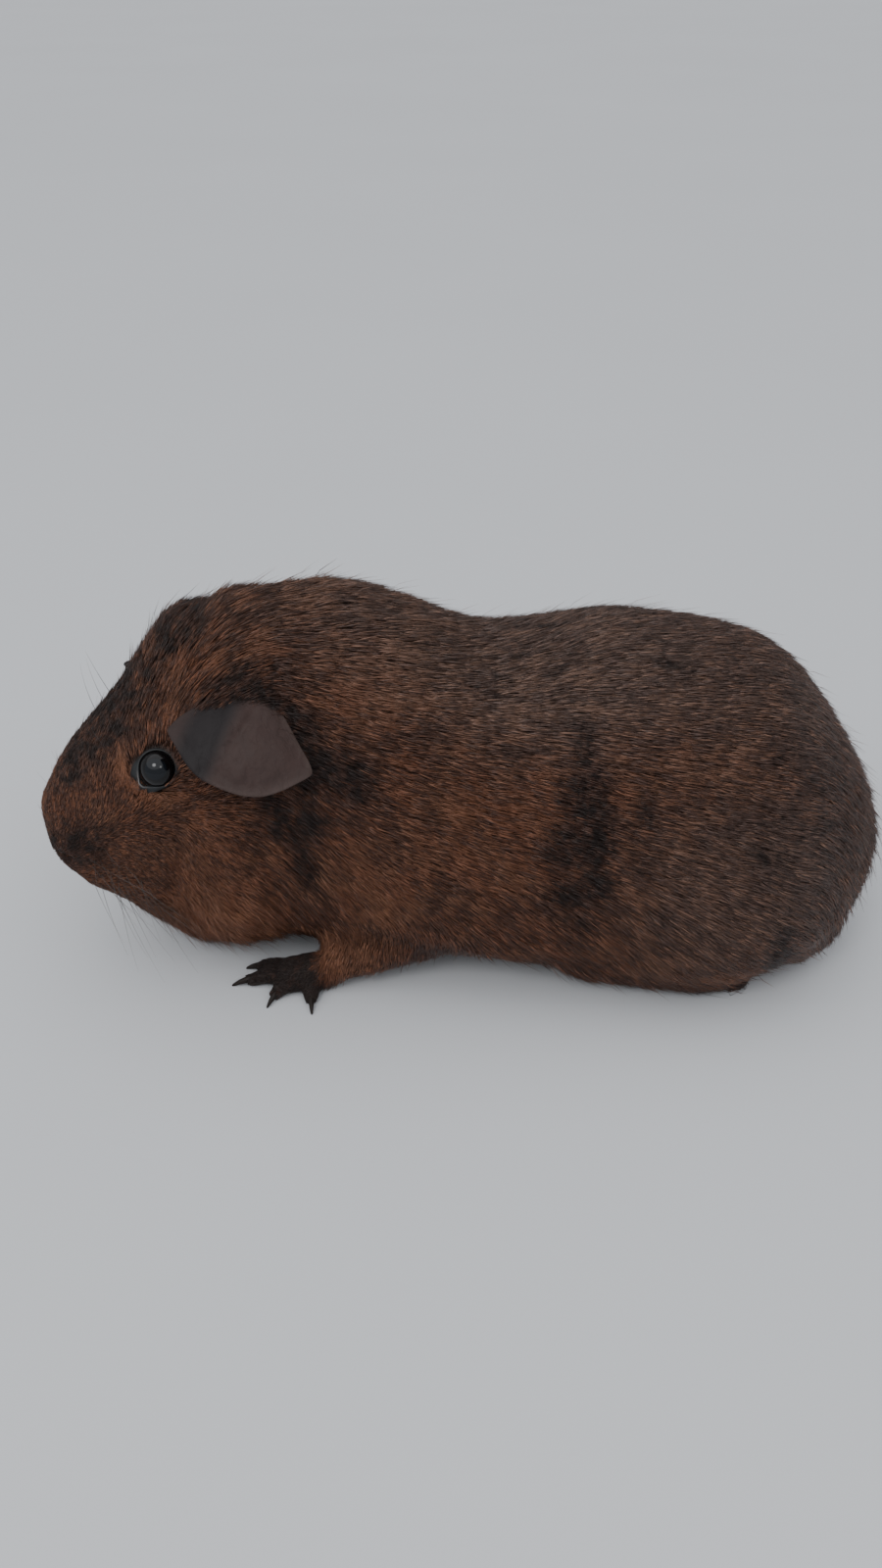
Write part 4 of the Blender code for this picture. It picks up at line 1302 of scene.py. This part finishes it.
class GUINEAPIG_OT_whiskers(Operator):
    """Set the fans of whiskers on the muzzle and the few long hairs over the eyes"""

    bl_idname = "guineapig.whiskers"
    bl_label = "Whiskers"

    def execute(self, context):
        face = context.scene.guineapig_face
        if "skin" not in state:
            raise RuntimeError("the whiskers grow from the skin, so the skin is built first")
        skin = state["skin"]
        surface = BVHTree.FromPolygons(points_of(skin).tolist(), triangles_of(skin).tolist())
        rng = np.random.default_rng(5)
        steps = WHISKER_STEPS
        for side, sign in SIDES.items():
            points, faces, along = [], [], []
            hairs = [((7 + 3.0 * column + 0.8 * row, 9.5, -5.5 - 3.0 * row), *LOWER_FAN)
                     for row in range(4) for column in range(5)]
            hairs += [((9 + 3.5 * column, 10, 1.0 - 2.4 * row), *UPPER_FAN)
                      for row in range(2) for column in range(3)]
            hairs += [(start, *BROW_FAN) for start in BROW_ROOTS]
            for start, (rear, aside, high), (rear_spread, high_spread), reach in hairs:
                spot = Vector(from_head(*start, side=sign))
                found = surface.find_nearest(spot)
                root, normal = np.array(found[0]), np.array(found[1])
                rear += rear_spread * rng.normal()
                high += high_spread * rng.normal()
                wish = from_head(rear, aside, high, sign) - NOSE
                way = unit(np.array(wish) / MM + normal * 0.35)
                long = face.whisker_length * rng.uniform(*reach)
                bend = np.array(HEAD_BACK) * rng.uniform(0.1, 0.5)
                bend += np.array((0, 0, -0.35)) * rng.uniform(0, 1)
                radius = 0.085 * MM * rng.uniform(0.75, 1.1)
                place, base = root - way * 0.4 * MM, len(points)
                for step in range(steps + 1):
                    t = step / steps
                    side_a = unit(np.cross(way, (0.1, 0.2, 1.0)))
                    side_b = np.cross(way, side_a)
                    for k in range(4):
                        turn = math.pi / 2 * k
                        points.append(place + (side_a * math.cos(turn) + side_b * math.sin(turn))
                                      * radius * (1 - 0.82 * t))
                        along.append(t)
                    if step < steps:
                        way = unit(way + bend * 0.9 / steps)
                        place = place + way * long / steps
                        place[2] = max(place[2], 0.6 * MM)
                for step in range(steps):
                    for k in range(4):
                        a, b = base + step * 4 + k, base + step * 4 + (k + 1) % 4
                        faces += [(a, b, b + 4), (a, b + 4, a + 4)]
                end = base + steps * 4
                faces += [(base, base + 2, base + 1), (base, base + 3, base + 2),
                          (end, end + 1, end + 2), (end, end + 2, end + 3)]
            whiskers = new_mesh("whiskers_" + side, np.array(points), np.array(faces))
            set_attribute(whiskers, "along", along)
            outward_faces(whiskers)
            finished(whiskers, "coat", shared(whisker_material))
        return {"FINISHED"}


# ---------------------------------------------------------------- stage


FLOOR_WIDTH = 24
SKY_COLOUR, SKY_STRENGTH = (0.93, 0.96, 1.0, 1), 0.66
SKYLIGHT = (-0.15, -0.30, 1.0), 1.95, math.radians(100)  # where it comes from, strength and width
WINDOW = (-0.35, -0.85, 0.95), 0.40, 4.2  # place and size in metres, power in watts
SECOND_WINDOW = (0.30, -0.75, 0.62), 0.22, 0.6
LIT_POINT = (-0.05, 0, 0.05)
CAMERA_AIM = (-0.0077, 0.0012, 0.0468)


class GUINEAPIG_OT_stage(Operator):
    """Set the plain pale floor, the soft studio light and the camera"""

    bl_idname = "guineapig.stage"
    bl_label = "Stage"

    def execute(self, context):
        stage = context.scene.guineapig_stage
        bpy.ops.object.select_all(action="DESELECT")
        bpy.ops.mesh.primitive_plane_add(size=FLOOR_WIDTH, location=(0, 0, 0))
        floor = context.object
        floor.name = "floor"
        material, n, shader = new_material("floor_paper")
        soft = n.noise(n.place(), 3, 2.0)
        n.feed(n.mix(soft, shade(stage.floor_colour, 0.97), shade(stage.floor_colour, 1.03)),
               shader.inputs["Base Color"])
        shader.inputs["Roughness"].default_value = 0.9
        shader.inputs["Specular IOR Level"].default_value = 0.1
        floor.data.materials.append(material)
        world = context.scene.world or bpy.data.worlds.new("studio")
        context.scene.world = world
        world.use_nodes = True
        background = world.node_tree.nodes["Background"]
        background.inputs["Color"].default_value = SKY_COLOUR
        background.inputs["Strength"].default_value = SKY_STRENGTH
        self.sky_lamp("skylight", *SKYLIGHT)
        self.lamp("window", *WINDOW)
        self.lamp("second_window", *SECOND_WINDOW)
        aim = Vector(CAMERA_AIM)
        back = Vector((0, -math.cos(stage.height_angle), math.sin(stage.height_angle)))
        data = bpy.data.cameras.new("camera")
        data.lens, data.sensor_width, data.dof.use_dof = stage.lens, 36, False
        data.clip_start, data.clip_end = 0.01, 60
        camera = bpy.data.objects.new("camera", data)
        camera.location = aim + back * stage.distance
        camera.rotation_euler = (-back).to_track_quat("-Z", "Y").to_euler()
        context.scene.collection.objects.link(camera)
        context.scene.camera = camera
        return {"FINISHED"}

    def sky_lamp(self, name, toward, power, spread_angle):
        data = bpy.data.lights.new(name, "SUN")
        data.energy, data.angle = power, spread_angle
        lamp = bpy.data.objects.new(name, data)
        lamp.rotation_euler = Vector(toward).to_track_quat("Z", "Y").to_euler()
        bpy.context.scene.collection.objects.link(lamp)

    def lamp(self, name, place, size, power):
        data = bpy.data.lights.new(name, "AREA")
        data.shape, data.size, data.energy = "DISK", size, power
        lamp = bpy.data.objects.new(name, data)
        lamp.location = place
        lamp.rotation_euler = (Vector(LIT_POINT) - Vector(place)).to_track_quat("-Z", "Y").to_euler()
        bpy.context.scene.collection.objects.link(lamp)


# ---------------------------------------------------------------- panel and start

OPERATORS = (GUINEAPIG_OT_stage, GUINEAPIG_OT_skin, GUINEAPIG_OT_ears, GUINEAPIG_OT_eyes,
             GUINEAPIG_OT_claws, GUINEAPIG_OT_coat, GUINEAPIG_OT_whiskers)


class GUINEAPIG_PT_panel(Panel):
    bl_idname = "GUINEAPIG_PT_panel"
    bl_label = "Guinea Pig"
    bl_space_type = "VIEW_3D"
    bl_region_type = "UI"
    bl_category = "Guinea Pig"

    def draw(self, context):
        for operator in OPERATORS:
            self.layout.operator(operator.bl_idname)
        for group in SETTINGS:
            settings = getattr(context.scene, group)
            box = self.layout.box()
            for name in settings.__annotations__:
                box.prop(settings, name)


SETTINGS = {"guineapig_coat": CoatSettings, "guineapig_face": FaceSettings, "guineapig_stage": StageSettings}


def register():
    for cls in (*SETTINGS.values(), *OPERATORS, GUINEAPIG_PT_panel):
        bpy.utils.register_class(cls)
    for name, cls in SETTINGS.items():
        setattr(bpy.types.Scene, name, PointerProperty(type=cls))


def unregister():
    for name in SETTINGS:
        delattr(bpy.types.Scene, name)
    for cls in reversed((*SETTINGS.values(), *OPERATORS, GUINEAPIG_PT_panel)):
        bpy.utils.unregister_class(cls)


def main():
    register()
    for operator in OPERATORS:
        group, name = operator.bl_idname.split(".")
        getattr(getattr(bpy.ops, group), name)()
    bpy.context.view_layer.update()


if __name__ == "__main__":
    main()
